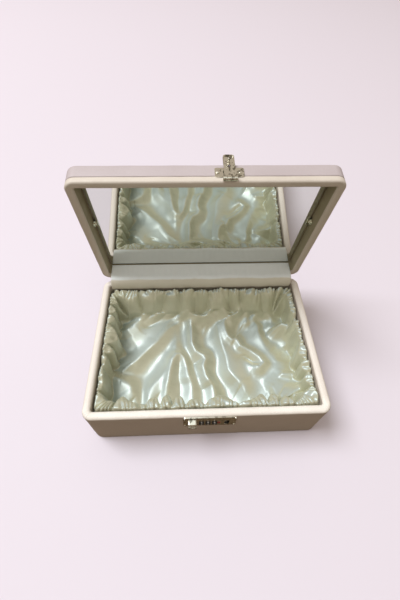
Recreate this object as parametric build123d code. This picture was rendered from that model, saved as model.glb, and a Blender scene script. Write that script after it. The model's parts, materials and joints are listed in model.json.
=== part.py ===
"""Mirrored makeup box with a number lock and a satin lining.

Frame: origin on the table under the middle of the base, +X to the right,
+Y towards the hinge, +Z up, millimetres. The lid is modelled closed and then
turned open about the hinge, because that is how the box stands at rest.
"""

import math
import os

from build123d import *

# Outside of the box
BOX_WIDTH = 260.0
BOX_DEPTH = 178.0
BASE_HEIGHT = 69.0
LID_HEIGHT = 22.0
RIM_GAP = 0.4
CORNER_RADIUS = 11.0
RIM_WIDTH = 8.5
RIM_INNER_RADIUS = 3.0

# Thickness of the sheets and boards
COVER_THICKNESS = 1.0
SHEET_THICKNESS = 0.6
BOTTOM_BOARD = 3.0
CARD = 1.0
FOAM = 4.0
FIT = 0.05

# Base heights that follow from them
COVER_BOTTOM = SHEET_THICKNESS
BOARD_BOTTOM = COVER_BOTTOM + COVER_THICKNESS
WALL_BOTTOM = BOARD_BOTTOM + BOTTOM_BOARD
RIM_HEIGHT = 7.0
WALL_TOP = BASE_HEIGHT - RIM_HEIGHT
FOAM_BOTTOM = WALL_BOTTOM + CARD
SATIN_BOTTOM = FOAM_BOTTOM + FOAM
COVER_TURN_IN = 12.0

# Half sizes of the hollow
INNER_X = BOX_WIDTH / 2 - RIM_WIDTH
INNER_Y = BOX_DEPTH / 2 - RIM_WIDTH
WALL_INNER_X = INNER_X + CARD
WALL_INNER_Y = INNER_Y + CARD

# Satin lining
SATIN_TOP = 66.0
SATIN_WALL = 6.6
PLEAT_DEPTH = 3.4
PLEAT_WIDTH = 20.5
SATIN_FLOOR = 17.5
SATIN_EDGE = 27.0
SATIN_EDGE_WIDTH = 2.0
PLEAT_VARIATION = 0.25
PLEAT_RHYTHM = 2.4
FOLD_FOOT = 1.5
FOLD_END_SIZE = 0.55
FOLD_LEAST_WIDTH = 0.3
LOCK_SIDE_SET_BACK = 0.6
FLAP_SIDE_SET_BACK = 4.2

# Hinge of the lid
HINGE_Y = BOX_DEPTH / 2 + 1.8
HINGE_Z = BASE_HEIGHT + RIM_GAP / 2
LID_OPEN_ANGLE = 80.0
HINGE_CENTRES = (-80.0, 80.0)
LEAF_WIDTH = 30.0
LEAF_THICKNESS = 1.0
LEAF_FRONT_Y = 82.0
KNUCKLE_RADIUS = 1.6
HINGE_PIN_RADIUS = 0.7
HINGE_HOLE_RADIUS = 0.75
BASE_KNUCKLES = ((-15.0, -9.1), (-2.9, 2.9), (9.1, 15.0))
LID_KNUCKLES = ((-8.9, -3.1), (3.1, 8.9))

# Lid, heights above its rim plane while it is closed
LID_Z = BASE_HEIGHT + RIM_GAP
LIP_HEIGHT = 7.0
GROOVE = 0.5
MIRROR_DEPTH = 15.5
MIRROR_GLASS = 3.0
MIRROR_CARD = 0.9
MIRROR_HALF_X = 119.0
MIRROR_HALF_Y = 79.0
CLIP_Y = -10.0
CLIP_LENGTH = 9.0

# Number lock on the front wall
FRONT_Y = -BOX_DEPTH / 2
PLATE_THICKNESS = 1.2
PLATE_X = (-26.0, 30.0)
PLATE_Z = (40.5, 66.5)
CASE_X = (-22.9, 26.2)
CASE_Z = (42.0, 65.0)
CASE_BACK_Y = -80.3
CASE_WALL = 0.6
WHEEL_CENTRES = (-6.8, 0.1, 7.0)
WHEEL_RADIUS = 5.4
WHEEL_WIDTH = 5.2
WHEEL_Y = -86.6
WHEEL_Z = 50.0
AXLE_RADIUS = 1.0
KNOB_X = -16.7
KNOB_SIZE = (9.5, 5.5, 14.0)
KNOB_Z = 56.0
KNOB_TRAVEL = 3.5
BOLT_Y = (-88.7, -87.6)
BOLT_BAR_Z = (57.0, 60.5)
NECK_Z = (57.2, 59.8)
NECK_WIDTH = 3.0
CATCH_X = (14.8, 17.4)
INDEX_X = (9.9, 13.1)
INDEX_Z = (48.0, 52.0)

# Hasp on the lid
HASP_X = 20.0
HASP_PIN_Y = -92.0
HASP_PIN_HEIGHT = 1.2
HASP_PIN_RADIUS = 0.75
HASP_HOLE_RADIUS = 0.8
HASP_KNUCKLE_RADIUS = 2.4
HASP_PLATE_WIDTH = 27.0
HASP_PLATE_HEIGHTS = (5.2, 16.5)
TONGUE_WIDTH = 10.5
TONGUE_THICKNESS = 1.0
TONGUE_LENGTH = 28.5
TONGUE_FLANGE = 1.0
STUD_ARM = 20.0
STUD_NECK_RADIUS = 1.0
STUD_HEAD_RADIUS = 1.8
STUD_LENGTH = 5.4
STUD_HEAD = 1.2

# Flap over the hinge, from the mirror down into the base, rest pose (y, z)
FLAP_HALF_WIDTH = 118.5
FLAP_THICKNESS = 1.0
FLAP_LINE = (
    (103.3, 82.75),
    (90.0, 80.40),
    (82.0, 79.0),
    (78.9, 74.0),
    (78.4, 63.0),
)
FLAP_RADII = (18.0, 4.5, 12.0)

# Main folds of the satin floor: points (x, y), half width and height
FLOOR_FOLDS = (
    (((-98, 34), (-73, 44), (-35, 53), (0, 54)), 12.0, 10.5),
    (((-97, -20), (-66, 11), (-35, 38), (-16, 48)), 11.0, 9.0),
    (((-72, -56), (-54, -29), (-38, 3), (-33, 32)), 9.0, 7.0),
    (((-49, -64), (-45, -26), (-36, 0)), 7.5, 9.0),
    (((-17, -64), (-20, -30), (-31, 0)), 7.5, 8.0),
    (((-9, 60), (-8, 22), (3, -14), (12, -64)), 9.0, 11.0),
    (((12, 62), (23, 18), (36, -26), (55, -62)), 10.0, 8.0),
    (((29, 64), (31, 30), (52, 8), (80, -18)), 10.0, 11.0),
    (((66, 62), (80, 20), (96, -14)), 9.0, 6.5),
    (((96, -10), (86, -36), (71, -62)), 9.0, 7.0),
)


def span_box(x_range, y_range, z_range):
    """Box between two corners."""
    size = [high - low for low, high in (x_range, y_range, z_range)]
    middle = [(low + high) / 2 for low, high in (x_range, y_range, z_range)]
    return Pos(*middle) * Box(*size)


def rounded_block(width, depth, radius, z_low, z_high):
    """Upright block with rounded vertical corners."""
    outline = RectangleRounded(width, depth, radius)
    return Pos(0, 0, z_low) * extrude(outline, z_high - z_low)


def rod(start, end, radius):
    """Round rod between two points."""
    line = Vector(*end) - Vector(*start)
    plane = Plane(origin=start, z_dir=line)
    return extrude(plane * Circle(radius), line.length)


def edges_at_height(shape, height):
    """Edges that lie in one level plane."""
    return shape.edges().filter_by_position(Axis.Z, height - 0.01, height + 0.01)


def group(*solids):
    """Several separate solids kept under one name."""
    return Compound(children=list(solids))


def open_lid(shape):
    """Turn a piece of the closed lid to the angle at which it stands."""
    return shape.rotate(Axis((0, HINGE_Y, HINGE_Z), (1, 0, 0)), -LID_OPEN_ANGLE)


def hinge_screw_rods(x_centre, z_face, direction):
    """Countersunk screws of one hinge leaf, flush with its face."""
    screws = []
    for offset in (-10.0, 10.0):
        top = (x_centre + offset, 85.6, z_face)
        head_end = (x_centre + offset, 85.6, z_face + direction * 0.7)
        tip = (x_centre + offset, 85.6, z_face + direction * 5.5)
        screws.append(rod(top, head_end, 1.5) + rod(top, tip, 0.7))
    return screws


def base_hinge_screws():
    """Screws that go down into the rim of the base."""
    screws = [s for x in HINGE_CENTRES for s in hinge_screw_rods(x, BASE_HEIGHT, -1)]
    return group(*screws)


def lid_hinge_screws():
    """Screws that go up into the rim of the closed lid."""
    screws = [s for x in HINGE_CENTRES for s in hinge_screw_rods(x, LID_Z, 1)]
    return group(*screws)


def hinge_leaf(x_centre, z_low, knuckles):
    """One leaf with its knuckles and the hole for the pin."""
    half = LEAF_WIDTH / 2
    z_high = z_low + LEAF_THICKNESS
    wall_y = BOX_DEPTH / 2
    leaf = span_box((x_centre - half, x_centre + half), (LEAF_FRONT_Y, wall_y), (z_low, z_high))
    for low, high in knuckles:
        x_range = (x_centre + low, x_centre + high)
        leaf += span_box(x_range, (wall_y, HINGE_Y), (z_low, z_high))
        leaf += rod((x_range[0], HINGE_Y, HINGE_Z), (x_range[1], HINGE_Y, HINGE_Z), KNUCKLE_RADIUS)
    hole_start = (x_centre - half - 1, HINGE_Y, HINGE_Z)
    hole_end = (x_centre + half + 1, HINGE_Y, HINGE_Z)
    return leaf - rod(hole_start, hole_end, HINGE_HOLE_RADIUS)


def base_hinge_leaves():
    """Leaves let into the top of the base's back rim."""
    z_low = BASE_HEIGHT - LEAF_THICKNESS
    leaves = group(*[hinge_leaf(x, z_low, BASE_KNUCKLES) for x in HINGE_CENTRES])
    return leaves - base_hinge_screws()


def lid_hinge_leaves():
    """Leaves let into the lid's back rim."""
    leaves = group(*[hinge_leaf(x, LID_Z, LID_KNUCKLES) for x in HINGE_CENTRES])
    return leaves - lid_hinge_screws()


def hinge_pins():
    """Pins that run through all five knuckles of each hinge."""
    half = LEAF_WIDTH / 2 + 0.3
    ends = [((x - half, HINGE_Y, HINGE_Z), (x + half, HINGE_Y, HINGE_Z)) for x in HINGE_CENTRES]
    return group(*[rod(start, end, HINGE_PIN_RADIUS) for start, end in ends])


def knuckle_room():
    """Room that the rims leave for the knuckles."""
    half = LEAF_WIDTH / 2 + 0.4
    room = []
    for x in HINGE_CENTRES:
        start = (x - half, HINGE_Y, HINGE_Z)
        room.append(rod(start, (x + half, HINGE_Y, HINGE_Z), KNUCKLE_RADIUS + 0.35))
    return group(*room)


def leaf_recess(z_low):
    """Recess for the leaves in a rim."""
    half = LEAF_WIDTH / 2
    wall_y = BOX_DEPTH / 2
    z_range = (z_low, z_low + LEAF_THICKNESS)
    return group(
        *[span_box((x - half, x + half), (LEAF_FRONT_Y, wall_y + 1), z_range) for x in HINGE_CENTRES]
    )


def lock_pocket():
    """Hole for the lock's case through the front wall."""
    x_range = (CASE_X[0] - 0.1, CASE_X[1] + 0.1)
    z_range = (CASE_Z[0] - 0.1, CASE_Z[1] + 0.1)
    return span_box(x_range, (FRONT_Y - 1, CASE_BACK_Y + 0.5), z_range)


def lock_rivet_list():
    """Four rivets that hold the plate to the front wall."""
    rivets = []
    for x in (PLATE_X[0] + 1.6, PLATE_X[1] - 1.6):
        for z in (PLATE_Z[0] + 1.6, PLATE_Z[1] - 1.5):
            face_y = FRONT_Y - PLATE_THICKNESS
            head = rod((x, face_y - 0.5, z), (x, face_y, z), 1.1)
            rivets.append(head + rod((x, face_y - 0.2, z), (x, FRONT_Y + 4.0, z), 0.6))
    return rivets


def base_wall_cover():
    """Leatherette sleeve round the walls, turned in under the bottom."""
    outer = rounded_block(BOX_WIDTH, BOX_DEPTH, CORNER_RADIUS, COVER_BOTTOM, WALL_TOP)
    outer = fillet(edges_at_height(outer, COVER_BOTTOM), 1.6)
    inner_width = BOX_WIDTH - 2 * COVER_THICKNESS
    inner_depth = BOX_DEPTH - 2 * COVER_THICKNESS
    inner_radius = CORNER_RADIUS - COVER_THICKNESS
    inner = rounded_block(inner_width, inner_depth, inner_radius, BOARD_BOTTOM, WALL_TOP)
    floor_width = BOX_WIDTH - 2 * COVER_TURN_IN
    floor_depth = BOX_DEPTH - 2 * COVER_TURN_IN
    floor_hole = rounded_block(floor_width, floor_depth, 3.0, 0.0, BOARD_BOTTOM)
    return outer - inner - floor_hole - lock_pocket() - group(*lock_rivet_list())


def base_bottom_sheet():
    """Paper sheet glued under the base."""
    margin = 6.0
    return rounded_block(BOX_WIDTH - margin, BOX_DEPTH - margin, CORNER_RADIUS - 3, 0.0, SHEET_THICKNESS)


def board_outline(z_low, z_high):
    """Block that the base's boards are cut to, just inside the cover."""
    shrink = 2 * (COVER_THICKNESS + FIT)
    radius = CORNER_RADIUS - COVER_THICKNESS
    return rounded_block(BOX_WIDTH - shrink, BOX_DEPTH - shrink, radius, z_low, z_high)


def base_bottom_board():
    """Board under the whole base."""
    return board_outline(BOARD_BOTTOM, WALL_BOTTOM)


def base_wall_boards():
    """Four wall boards: front and back run right across, the sides fit between."""
    outline = board_outline(WALL_BOTTOM, WALL_TOP)
    wide = (-BOX_WIDTH / 2, BOX_WIDTH / 2)
    height = (WALL_BOTTOM, WALL_TOP)
    between = (-WALL_INNER_Y, WALL_INNER_Y)
    front = outline & span_box(wide, (FRONT_Y, -WALL_INNER_Y), height)
    back = outline & span_box(wide, (WALL_INNER_Y, -FRONT_Y), height)
    left = outline & span_box((-BOX_WIDTH / 2, -WALL_INNER_X), between, height)
    right = outline & span_box((WALL_INNER_X, BOX_WIDTH / 2), between, height)
    return {
        "base_front_board": front - lock_pocket() - group(*lock_rivet_list()),
        "base_back_board": back,
        "base_left_board": left,
        "base_right_board": right,
    }


def rim_ring(z_low, z_high, soft_z, soft_radius):
    """Padded rim: a ring whose edges in the plane soft_z are rounded."""
    outer = rounded_block(BOX_WIDTH, BOX_DEPTH, CORNER_RADIUS, z_low, z_high)
    inner = rounded_block(2 * INNER_X, 2 * INNER_Y, RIM_INNER_RADIUS, z_low, z_high)
    ring = outer - inner
    return fillet(edges_at_height(ring, soft_z), soft_radius)


def corner_creases(z_face):
    """Thin mitre lines pressed into the rim's four corners."""
    creases = []
    for x_side in (-1, 1):
        for y_side in (-1, 1):
            line = Pos(x_side * (INNER_X + 3.4), y_side * (INNER_Y + 3.4), z_face)
            creases.append(line * Rot(0, 0, 45 * x_side * y_side) * Box(14.0, 0.5, 1.0))
    return group(*creases)


def base_rim_cover():
    """Padded leatherette rim on top of the base's walls."""
    ring = rim_ring(WALL_TOP, BASE_HEIGHT, BASE_HEIGHT, 2.6)
    ring = ring - corner_creases(BASE_HEIGHT) - lock_pocket() - group(*lock_rivet_list())
    ring = ring - knuckle_room() - leaf_recess(BASE_HEIGHT - LEAF_THICKNESS)
    return ring - base_hinge_screws()


def inner_cards():
    """Cards that carry the satin on the four walls, and the one on the floor."""
    height = (FOAM_BOTTOM, WALL_TOP)
    along_x = (-INNER_X, INNER_X)
    along_y = (-WALL_INNER_Y, WALL_INNER_Y)
    front = span_box(along_x, (-WALL_INNER_Y, -INNER_Y), height)
    floor = span_box((-WALL_INNER_X, WALL_INNER_X), along_y, (WALL_BOTTOM, FOAM_BOTTOM))
    return {
        "inner_card_front": front - lock_pocket(),
        "inner_card_back": span_box(along_x, (INNER_Y, WALL_INNER_Y), height),
        "inner_card_left": span_box((-WALL_INNER_X, -INNER_X), along_y, height),
        "inner_card_right": span_box((INNER_X, WALL_INNER_X), along_y, height),
        "inner_card_floor": floor,
    }


def floor_foam():
    """Foam sheet under the satin floor."""
    return rounded_block(2 * INNER_X - 1, 2 * INNER_Y - 1, 2.0, FOAM_BOTTOM, SATIN_BOTTOM)


def pleated_panel(length, thickness):
    """Upright satin panel along X whose face towards +Y swells in pleats."""
    count = round(length / PLEAT_WIDTH)
    step = length / count
    left = -length / 2
    face = []
    for index in range(count):
        start = left + index * step
        swell = PLEAT_DEPTH * (1 - PLEAT_VARIATION + PLEAT_VARIATION * math.sin(PLEAT_RHYTHM * index))
        middle = (start + step / 2, thickness + swell)
        face.append(ThreePointArc((start, thickness), middle, (start + step, thickness)))
    right = left + length
    back = Polyline((right, thickness), (right, 0), (left, 0), (left, thickness))
    outline = make_face(Curve() + face + [back])
    return Pos(0, 0, SATIN_BOTTOM) * extrude(outline, SATIN_TOP - SATIN_BOTTOM)


def satin_walls():
    """Gathered satin on the four walls, standing clear of cards and flap."""
    front_y = -INNER_Y + LOCK_SIDE_SET_BACK
    back_y = INNER_Y - FLAP_SIDE_SET_BACK
    long_panel = pleated_panel(2 * INNER_X - 3.6, SATIN_WALL)
    side_room = SATIN_WALL + PLEAT_DEPTH + 0.2
    side_length = back_y - front_y - 2 * side_room
    side_panel = pleated_panel(side_length, SATIN_WALL)
    middle_y = (front_y + back_y) / 2
    return {
        "satin_wall_front": Pos(0, front_y, 0) * long_panel,
        "satin_wall_back": Pos(0, back_y, 0) * Rot(0, 0, 180) * long_panel,
        "satin_wall_left": Pos(-INNER_X + 0.2, middle_y, 0) * Rot(0, 0, -90) * side_panel,
        "satin_wall_right": Pos(INNER_X - 0.2, middle_y, 0) * Rot(0, 0, 90) * side_panel,
    }


def fold_section(point, direction, half_width, height):
    """Upright section of a fold: a low arc over a level line."""
    across = direction.cross(Vector(0, 0, 1)).normalized()
    foot_z = SATIN_FLOOR - FOLD_FOOT
    middle = Vector(point[0], point[1], foot_z)
    left = middle - across * half_width
    right = middle + across * half_width
    crest = Vector(point[0], point[1], SATIN_FLOOR + height)
    return make_face(Curve() + [ThreePointArc(left, crest, right), Line(right, left)])


def floor_fold(points, half_width, height):
    """One fold of the satin floor, lower and narrower at its two ends."""
    sections = []
    last = len(points) - 1
    for index, point in enumerate(points):
        before = Vector(*points[max(index - 1, 0)], 0)
        after = Vector(*points[min(index + 1, last)], 0)
        size = FOLD_END_SIZE if index in (0, last) else 1.0
        direction = (after - before).normalized()
        width = half_width * (FOLD_LEAST_WIDTH + (1 - FOLD_LEAST_WIDTH) * size)
        sections.append(fold_section(point, direction, width, height * size))
    return loft(sections)


def satin_floor():
    """Padded satin floor that rises to the walls, with its main folds."""
    half_x = INNER_X - SATIN_WALL - PLEAT_DEPTH - 0.4
    front_y = -INNER_Y + LOCK_SIDE_SET_BACK + SATIN_WALL + PLEAT_DEPTH + 0.1
    back_y = INNER_Y - FLAP_SIDE_SET_BACK - SATIN_WALL - PLEAT_DEPTH - 0.1
    floor = span_box((-half_x, half_x), (front_y, back_y), (SATIN_BOTTOM, SATIN_EDGE))
    rise = SATIN_EDGE - SATIN_FLOOR
    slope_foot = SATIN_EDGE_WIDTH + rise
    size = (2 * (half_x - slope_foot), back_y - front_y - 2 * slope_foot)
    hollow = extrude(Rectangle(*size), rise, taper=-45)
    floor -= Pos(0, (front_y + back_y) / 2, SATIN_FLOOR) * hollow
    for points, half_width, height in FLOOR_FOLDS:
        floor += floor_fold(points, half_width, height)
    return floor


def hinge_flap():
    """Satin strip that hides the hinge, from the mirror down into the base."""
    line = FilletPolyline(*FLAP_LINE, radius=list(FLAP_RADII))
    strip = trace(line, FLAP_THICKNESS)
    # The line is drawn flat as (y, z) and stood up across the box
    upright = Plane(origin=(-FLAP_HALF_WIDTH, 0, 0), x_dir=(0, 1, 0), z_dir=(1, 0, 0))
    return extrude(upright * strip, 2 * FLAP_HALF_WIDTH)


def lock_plate():
    """Chromed face plate with its windows."""
    y_range = (FRONT_Y - PLATE_THICKNESS, FRONT_Y)
    plate = span_box(PLATE_X, y_range, PLATE_Z)
    plate = fillet(plate.edges().filter_by(Axis.Y), 2.0)
    plate = fillet(plate.faces().sort_by(Axis.Y)[0].edges(), 0.4)
    through = (y_range[0] - 1, y_range[1] + 1)
    window = (WHEEL_WIDTH / 2 + 0.2, math.sqrt(WHEEL_RADIUS**2 - (WHEEL_Y - FRONT_Y) ** 2) + 0.25)
    for x in WHEEL_CENTRES:
        x_range = (x - window[0], x + window[0])
        plate -= span_box(x_range, through, (WHEEL_Z - window[1], WHEEL_Z + window[1]))
    slot_left = KNOB_X - NECK_WIDTH / 2 - KNOB_TRAVEL - 0.2
    slot_right = KNOB_X + NECK_WIDTH / 2 + 0.2
    plate -= span_box((slot_left, slot_right), through, (NECK_Z[0] - 0.2, NECK_Z[1] + 0.2))
    plate -= stud_slot()
    recess = (y_range[0] - 1, y_range[0] + 0.3)
    plate -= span_box(INDEX_X, recess, INDEX_Z)
    return plate - group(*lock_rivet_list())


def stud_slot():
    """Slot that the stud of the hasp goes into."""
    half = 2.5
    return span_box((HASP_X - half, HASP_X + half), (FRONT_Y - 2, FRONT_Y + 1), (44.0, 56.5))


def lock_case():
    """Open-fronted case behind the plate, with the two brackets of the axle."""
    case = span_box(CASE_X, (FRONT_Y, CASE_BACK_Y), CASE_Z)
    hollow_x = (CASE_X[0] + CASE_WALL, CASE_X[1] - CASE_WALL)
    hollow_z = (CASE_Z[0] + CASE_WALL, CASE_Z[1] - CASE_WALL)
    case -= span_box(hollow_x, (FRONT_Y - 1, CASE_BACK_Y - CASE_WALL), hollow_z)
    for x_low in (-11.0, 10.2):
        case += span_box((x_low, x_low + 0.8), (FRONT_Y + 0.1, CASE_BACK_Y - CASE_WALL), (46.0, 54.0))
    return case - rod((-12, WHEEL_Y, WHEEL_Z), (12, WHEEL_Y, WHEEL_Z), AXLE_RADIUS + 0.02)


def dial_axle():
    """Axle of the three number wheels."""
    return rod((-11.0, WHEEL_Y, WHEEL_Z), (11.0, WHEEL_Y, WHEEL_Z), AXLE_RADIUS)


def number_wheel(x_centre):
    """Number wheel with ten notches for finger and detent."""
    half = WHEEL_WIDTH / 2
    wheel = rod((x_centre - half, WHEEL_Y, WHEEL_Z), (x_centre + half, WHEEL_Y, WHEEL_Z), WHEEL_RADIUS)
    hole_start = (x_centre - half - 1, WHEEL_Y, WHEEL_Z)
    wheel -= rod(hole_start, (x_centre + half + 1, WHEEL_Y, WHEEL_Z), AXLE_RADIUS + 0.06)
    for index in range(10):
        angle = math.radians(36 * index + 18)
        y = WHEEL_Y + (WHEEL_RADIUS + 0.1) * math.cos(angle)
        z = WHEEL_Z + (WHEEL_RADIUS + 0.1) * math.sin(angle)
        wheel -= rod((x_centre - half - 1, y, z), (x_centre + half + 1, y, z), 0.4)
    return wheel


def detent_spring():
    """Leaf spring under the wheels, on two feet on the case's floor."""
    floor_z = CASE_Z[0] + CASE_WALL
    leaf = span_box((-9.8, 10.0), (WHEEL_Y - 1.5, WHEEL_Y + 1.5), (43.6, 43.9))
    for x_low in (-9.8, 9.4):
        leaf += span_box((x_low, x_low + 0.6), (WHEEL_Y - 1.5, WHEEL_Y + 1.5), (floor_z, 43.9))
    for x in WHEEL_CENTRES:
        leaf += rod((x - 1.5, WHEEL_Y, 43.95), (x + 1.5, WHEEL_Y, 43.95), 0.4)
    return leaf


def lock_bolt():
    """Sliding bolt: neck for the knob, bar over the wheels and forked catch."""
    bar = span_box((KNOB_X - 1.9, CATCH_X[1]), BOLT_Y, BOLT_BAR_Z)
    bar += span_box(CATCH_X, BOLT_Y, (50.35, BOLT_BAR_Z[1]))
    stud_z = LID_Z + HASP_PIN_HEIGHT - STUD_ARM
    for side in (-1, 1):
        near = stud_z + side * 1.2
        far = stud_z + side * 2.55
        bar += span_box((CATCH_X[1] - 0.2, 21.0), BOLT_Y, (min(near, far), max(near, far)))
    neck_x = (KNOB_X - NECK_WIDTH / 2, KNOB_X + NECK_WIDTH / 2)
    bar += span_box(neck_x, (FRONT_Y - PLATE_THICKNESS - 0.25, BOLT_Y[0]), NECK_Z)
    lug_z = (BOLT_BAR_Z[1] - 0.5, CASE_Z[1] - CASE_WALL - 0.2)
    return bar + span_box((-8.6, -7.6), (BOLT_Y[0], BOLT_Y[1] + 2.2), lug_z)


def bolt_spring():
    """Coil spring that pushes the bolt back to the right."""
    start_x = CASE_X[0] + CASE_WALL + 0.3
    height = -8.6 - start_x - 0.3
    path = Helix(pitch=height / 8, height=height, radius=0.9)
    section = Plane(origin=path @ 0, z_dir=path % 0) * Circle(0.2)
    coil = sweep(section, path=path, is_frenet=True)
    return Pos(start_x, BOLT_Y[1] + 0.9, 62.6) * Rot(0, 90, 0) * coil


def lock_knob():
    """Release knob with three grip grooves."""
    width, depth, height = KNOB_SIZE
    back_y = FRONT_Y - PLATE_THICKNESS - 0.25
    x_range = (KNOB_X - width / 2, KNOB_X + width / 2)
    z_range = (KNOB_Z - height / 2, KNOB_Z + height / 2)
    knob = span_box(x_range, (back_y - depth, back_y), z_range)
    knob = fillet(knob.edges().filter_by(Axis.Y), 1.5)
    knob = fillet(knob.faces().sort_by(Axis.Y)[0].edges(), 1.0)
    for z in (KNOB_Z - 3.6, KNOB_Z, KNOB_Z + 3.6):
        knob -= rod((x_range[0] - 1, back_y - depth, z), (x_range[1] + 1, back_y - depth, z), 0.7)
    return knob


def lock_index():
    """Red mark beside the wheels, let into the plate."""
    face_y = FRONT_Y - PLATE_THICKNESS
    return span_box(INDEX_X, (face_y - 0.2, face_y + 0.3), INDEX_Z)


def lid_rim_cover():
    """Padded rim of the lid with the lining of the mirror's recess."""
    ring = rim_ring(LID_Z, LID_Z + LIP_HEIGHT, LID_Z, 2.2)
    liner_top = LID_Z + MIRROR_DEPTH + MIRROR_GLASS
    liner_low = LID_Z + LIP_HEIGHT
    liner = rounded_block(2 * WALL_INNER_X, 2 * WALL_INNER_Y, RIM_INNER_RADIUS + 1, liner_low, liner_top)
    liner -= rounded_block(2 * INNER_X, 2 * INNER_Y, RIM_INNER_RADIUS, liner_low, liner_top)
    ring = ring + liner
    ring = ring - knuckle_room() - leaf_recess(LID_Z) - lid_hinge_screws()
    return ring


def lid_wall_boards():
    """Four low wall boards of the lid."""
    low = LID_Z + LIP_HEIGHT
    high = LID_Z + MIRROR_DEPTH + MIRROR_GLASS + MIRROR_CARD
    shrink = 2 * (COVER_THICKNESS + FIT)
    radius = CORNER_RADIUS - COVER_THICKNESS
    outline = rounded_block(BOX_WIDTH - shrink, BOX_DEPTH - shrink, radius, low, high)
    inner_x = WALL_INNER_X + FIT
    inner_y = WALL_INNER_Y + FIT
    outline -= rounded_block(2 * inner_x, 2 * inner_y, RIM_INNER_RADIUS + 1, low, high)
    wide = (-BOX_WIDTH / 2, BOX_WIDTH / 2)
    height = (low, high)
    split_y = inner_y - RIM_INNER_RADIUS - 1
    between = (-split_y, split_y)
    return {
        "lid_front_board": (outline & span_box(wide, (FRONT_Y, -split_y), height)) - hasp_screws(),
        "lid_back_board": outline & span_box(wide, (split_y, -FRONT_Y), height),
        "lid_left_board": outline & span_box((-BOX_WIDTH / 2, -inner_x), between, height),
        "lid_right_board": outline & span_box((inner_x, BOX_WIDTH / 2), between, height),
    }


def lid_cover():
    """Leatherette cover over the lid's top and walls."""
    low = LID_Z + LIP_HEIGHT + GROOVE
    high = LID_Z + LID_HEIGHT
    cover = rounded_block(BOX_WIDTH, BOX_DEPTH, CORNER_RADIUS, low, high)
    cover = fillet(edges_at_height(cover, high), 2.4)
    cover = fillet(edges_at_height(cover, low), 0.5)
    shrink = 2 * COVER_THICKNESS
    radius = CORNER_RADIUS - COVER_THICKNESS
    hollow = rounded_block(BOX_WIDTH - shrink, BOX_DEPTH - shrink, radius, low, high - COVER_THICKNESS)
    return cover - hollow - hasp_screws()


def lid_top_board():
    """Board across the top of the lid."""
    low = LID_Z + MIRROR_DEPTH + MIRROR_GLASS + MIRROR_CARD
    shrink = 2 * (COVER_THICKNESS + FIT)
    radius = CORNER_RADIUS - COVER_THICKNESS
    high = LID_Z + LID_HEIGHT - COVER_THICKNESS
    return rounded_block(BOX_WIDTH - shrink, BOX_DEPTH - shrink, radius, low, high) - mirror_clip_screws()


def mirror_glass():
    """Plate of mirror glass with a narrow ground edge."""
    low = LID_Z + MIRROR_DEPTH
    glass = span_box((-MIRROR_HALF_X, MIRROR_HALF_X), (-MIRROR_HALF_Y, MIRROR_HALF_Y), (low, low + MIRROR_GLASS))
    return chamfer(edges_at_height(glass, low), 0.8)


def mirror_card():
    """Card between the mirror and the top board."""
    low = LID_Z + MIRROR_DEPTH + MIRROR_GLASS
    half_x = INNER_X - 0.5
    half_y = INNER_Y - 0.5
    card = span_box((-half_x, half_x), (-half_y, half_y), (low, low + MIRROR_CARD))
    return card - mirror_clip_screws()


def mirror_clip(side):
    """Bent clip that holds one side of the mirror."""
    face = LID_Z + MIRROR_DEPTH
    inner = side * (MIRROR_HALF_X - 2.4)
    outer = side * (INNER_X - 0.15)
    upright = side * (INNER_X - 0.95)
    y_range = (CLIP_Y - CLIP_LENGTH / 2, CLIP_Y + CLIP_LENGTH / 2)
    foot = span_box((min(inner, outer), max(inner, outer)), y_range, (face - 0.9, face))
    leg = span_box((min(outer, upright), max(outer, upright)), y_range, (face - 4.2, face))
    return foot + leg - mirror_clip_screws()


def mirror_clip_screws():
    """Screws beside the mirror's edge that hold the two clips."""
    face = LID_Z + MIRROR_DEPTH - 0.9
    screws = []
    for side in (-1, 1):
        x = side * (MIRROR_HALF_X + 0.75)
        head = rod((x, CLIP_Y, face - 1.0), (x, CLIP_Y, face), 1.6)
        head = fillet(head.edges().sort_by(Axis.Z)[0], 0.6)
        screws.append(head + rod((x, CLIP_Y, face - 0.3), (x, CLIP_Y, face + 5.4), 0.6))
    return group(*screws)


def hasp_screws():
    """Two screws of the hasp's plate."""
    height = LID_Z + sum(HASP_PLATE_HEIGHTS) / 2
    screws = []
    for offset in (-10.2, 10.2):
        x = HASP_X + offset
        head = rod((x, FRONT_Y - 1.8, height), (x, FRONT_Y - 1.0, height), 1.9)
        head = fillet(head.edges().sort_by(Axis.Y)[0], 0.5)
        screws.append(head + rod((x, FRONT_Y - 1.3, height), (x, FRONT_Y + 5.5, height), 0.8))
    return group(*screws)


def hasp_rod(x_range, radius):
    """Rod on the hasp's axis."""
    height = LID_Z + HASP_PIN_HEIGHT
    return rod((x_range[0], HASP_PIN_Y, height), (x_range[1], HASP_PIN_Y, height), radius)


def hasp_plate():
    """Plate on the lid's front wall with two knuckles for the tongue's pin."""
    half = HASP_PLATE_WIDTH / 2
    z_range = (LID_Z + HASP_PLATE_HEIGHTS[0], LID_Z + HASP_PLATE_HEIGHTS[1])
    plate = span_box((HASP_X - half, HASP_X + half), (FRONT_Y - 1, FRONT_Y), z_range)
    plate = fillet(plate.edges().filter_by(Axis.Y), 2.2)
    pin_z = LID_Z + HASP_PIN_HEIGHT
    for low, high in ((-6.5, -3.1), (3.1, 6.5)):
        x_range = (HASP_X + low, HASP_X + high)
        plate += span_box(x_range, (FRONT_Y - 1, FRONT_Y - 0.2), (pin_z, z_range[0] + 1))
        plate += span_box(x_range, (HASP_PIN_Y, FRONT_Y - 0.2), (pin_z, pin_z + 1.0))
        plate += hasp_rod(x_range, HASP_KNUCKLE_RADIUS)
    plate -= hasp_rod((HASP_X - 10, HASP_X + 10), HASP_HOLE_RADIUS)
    return plate - hasp_screws()


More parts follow.
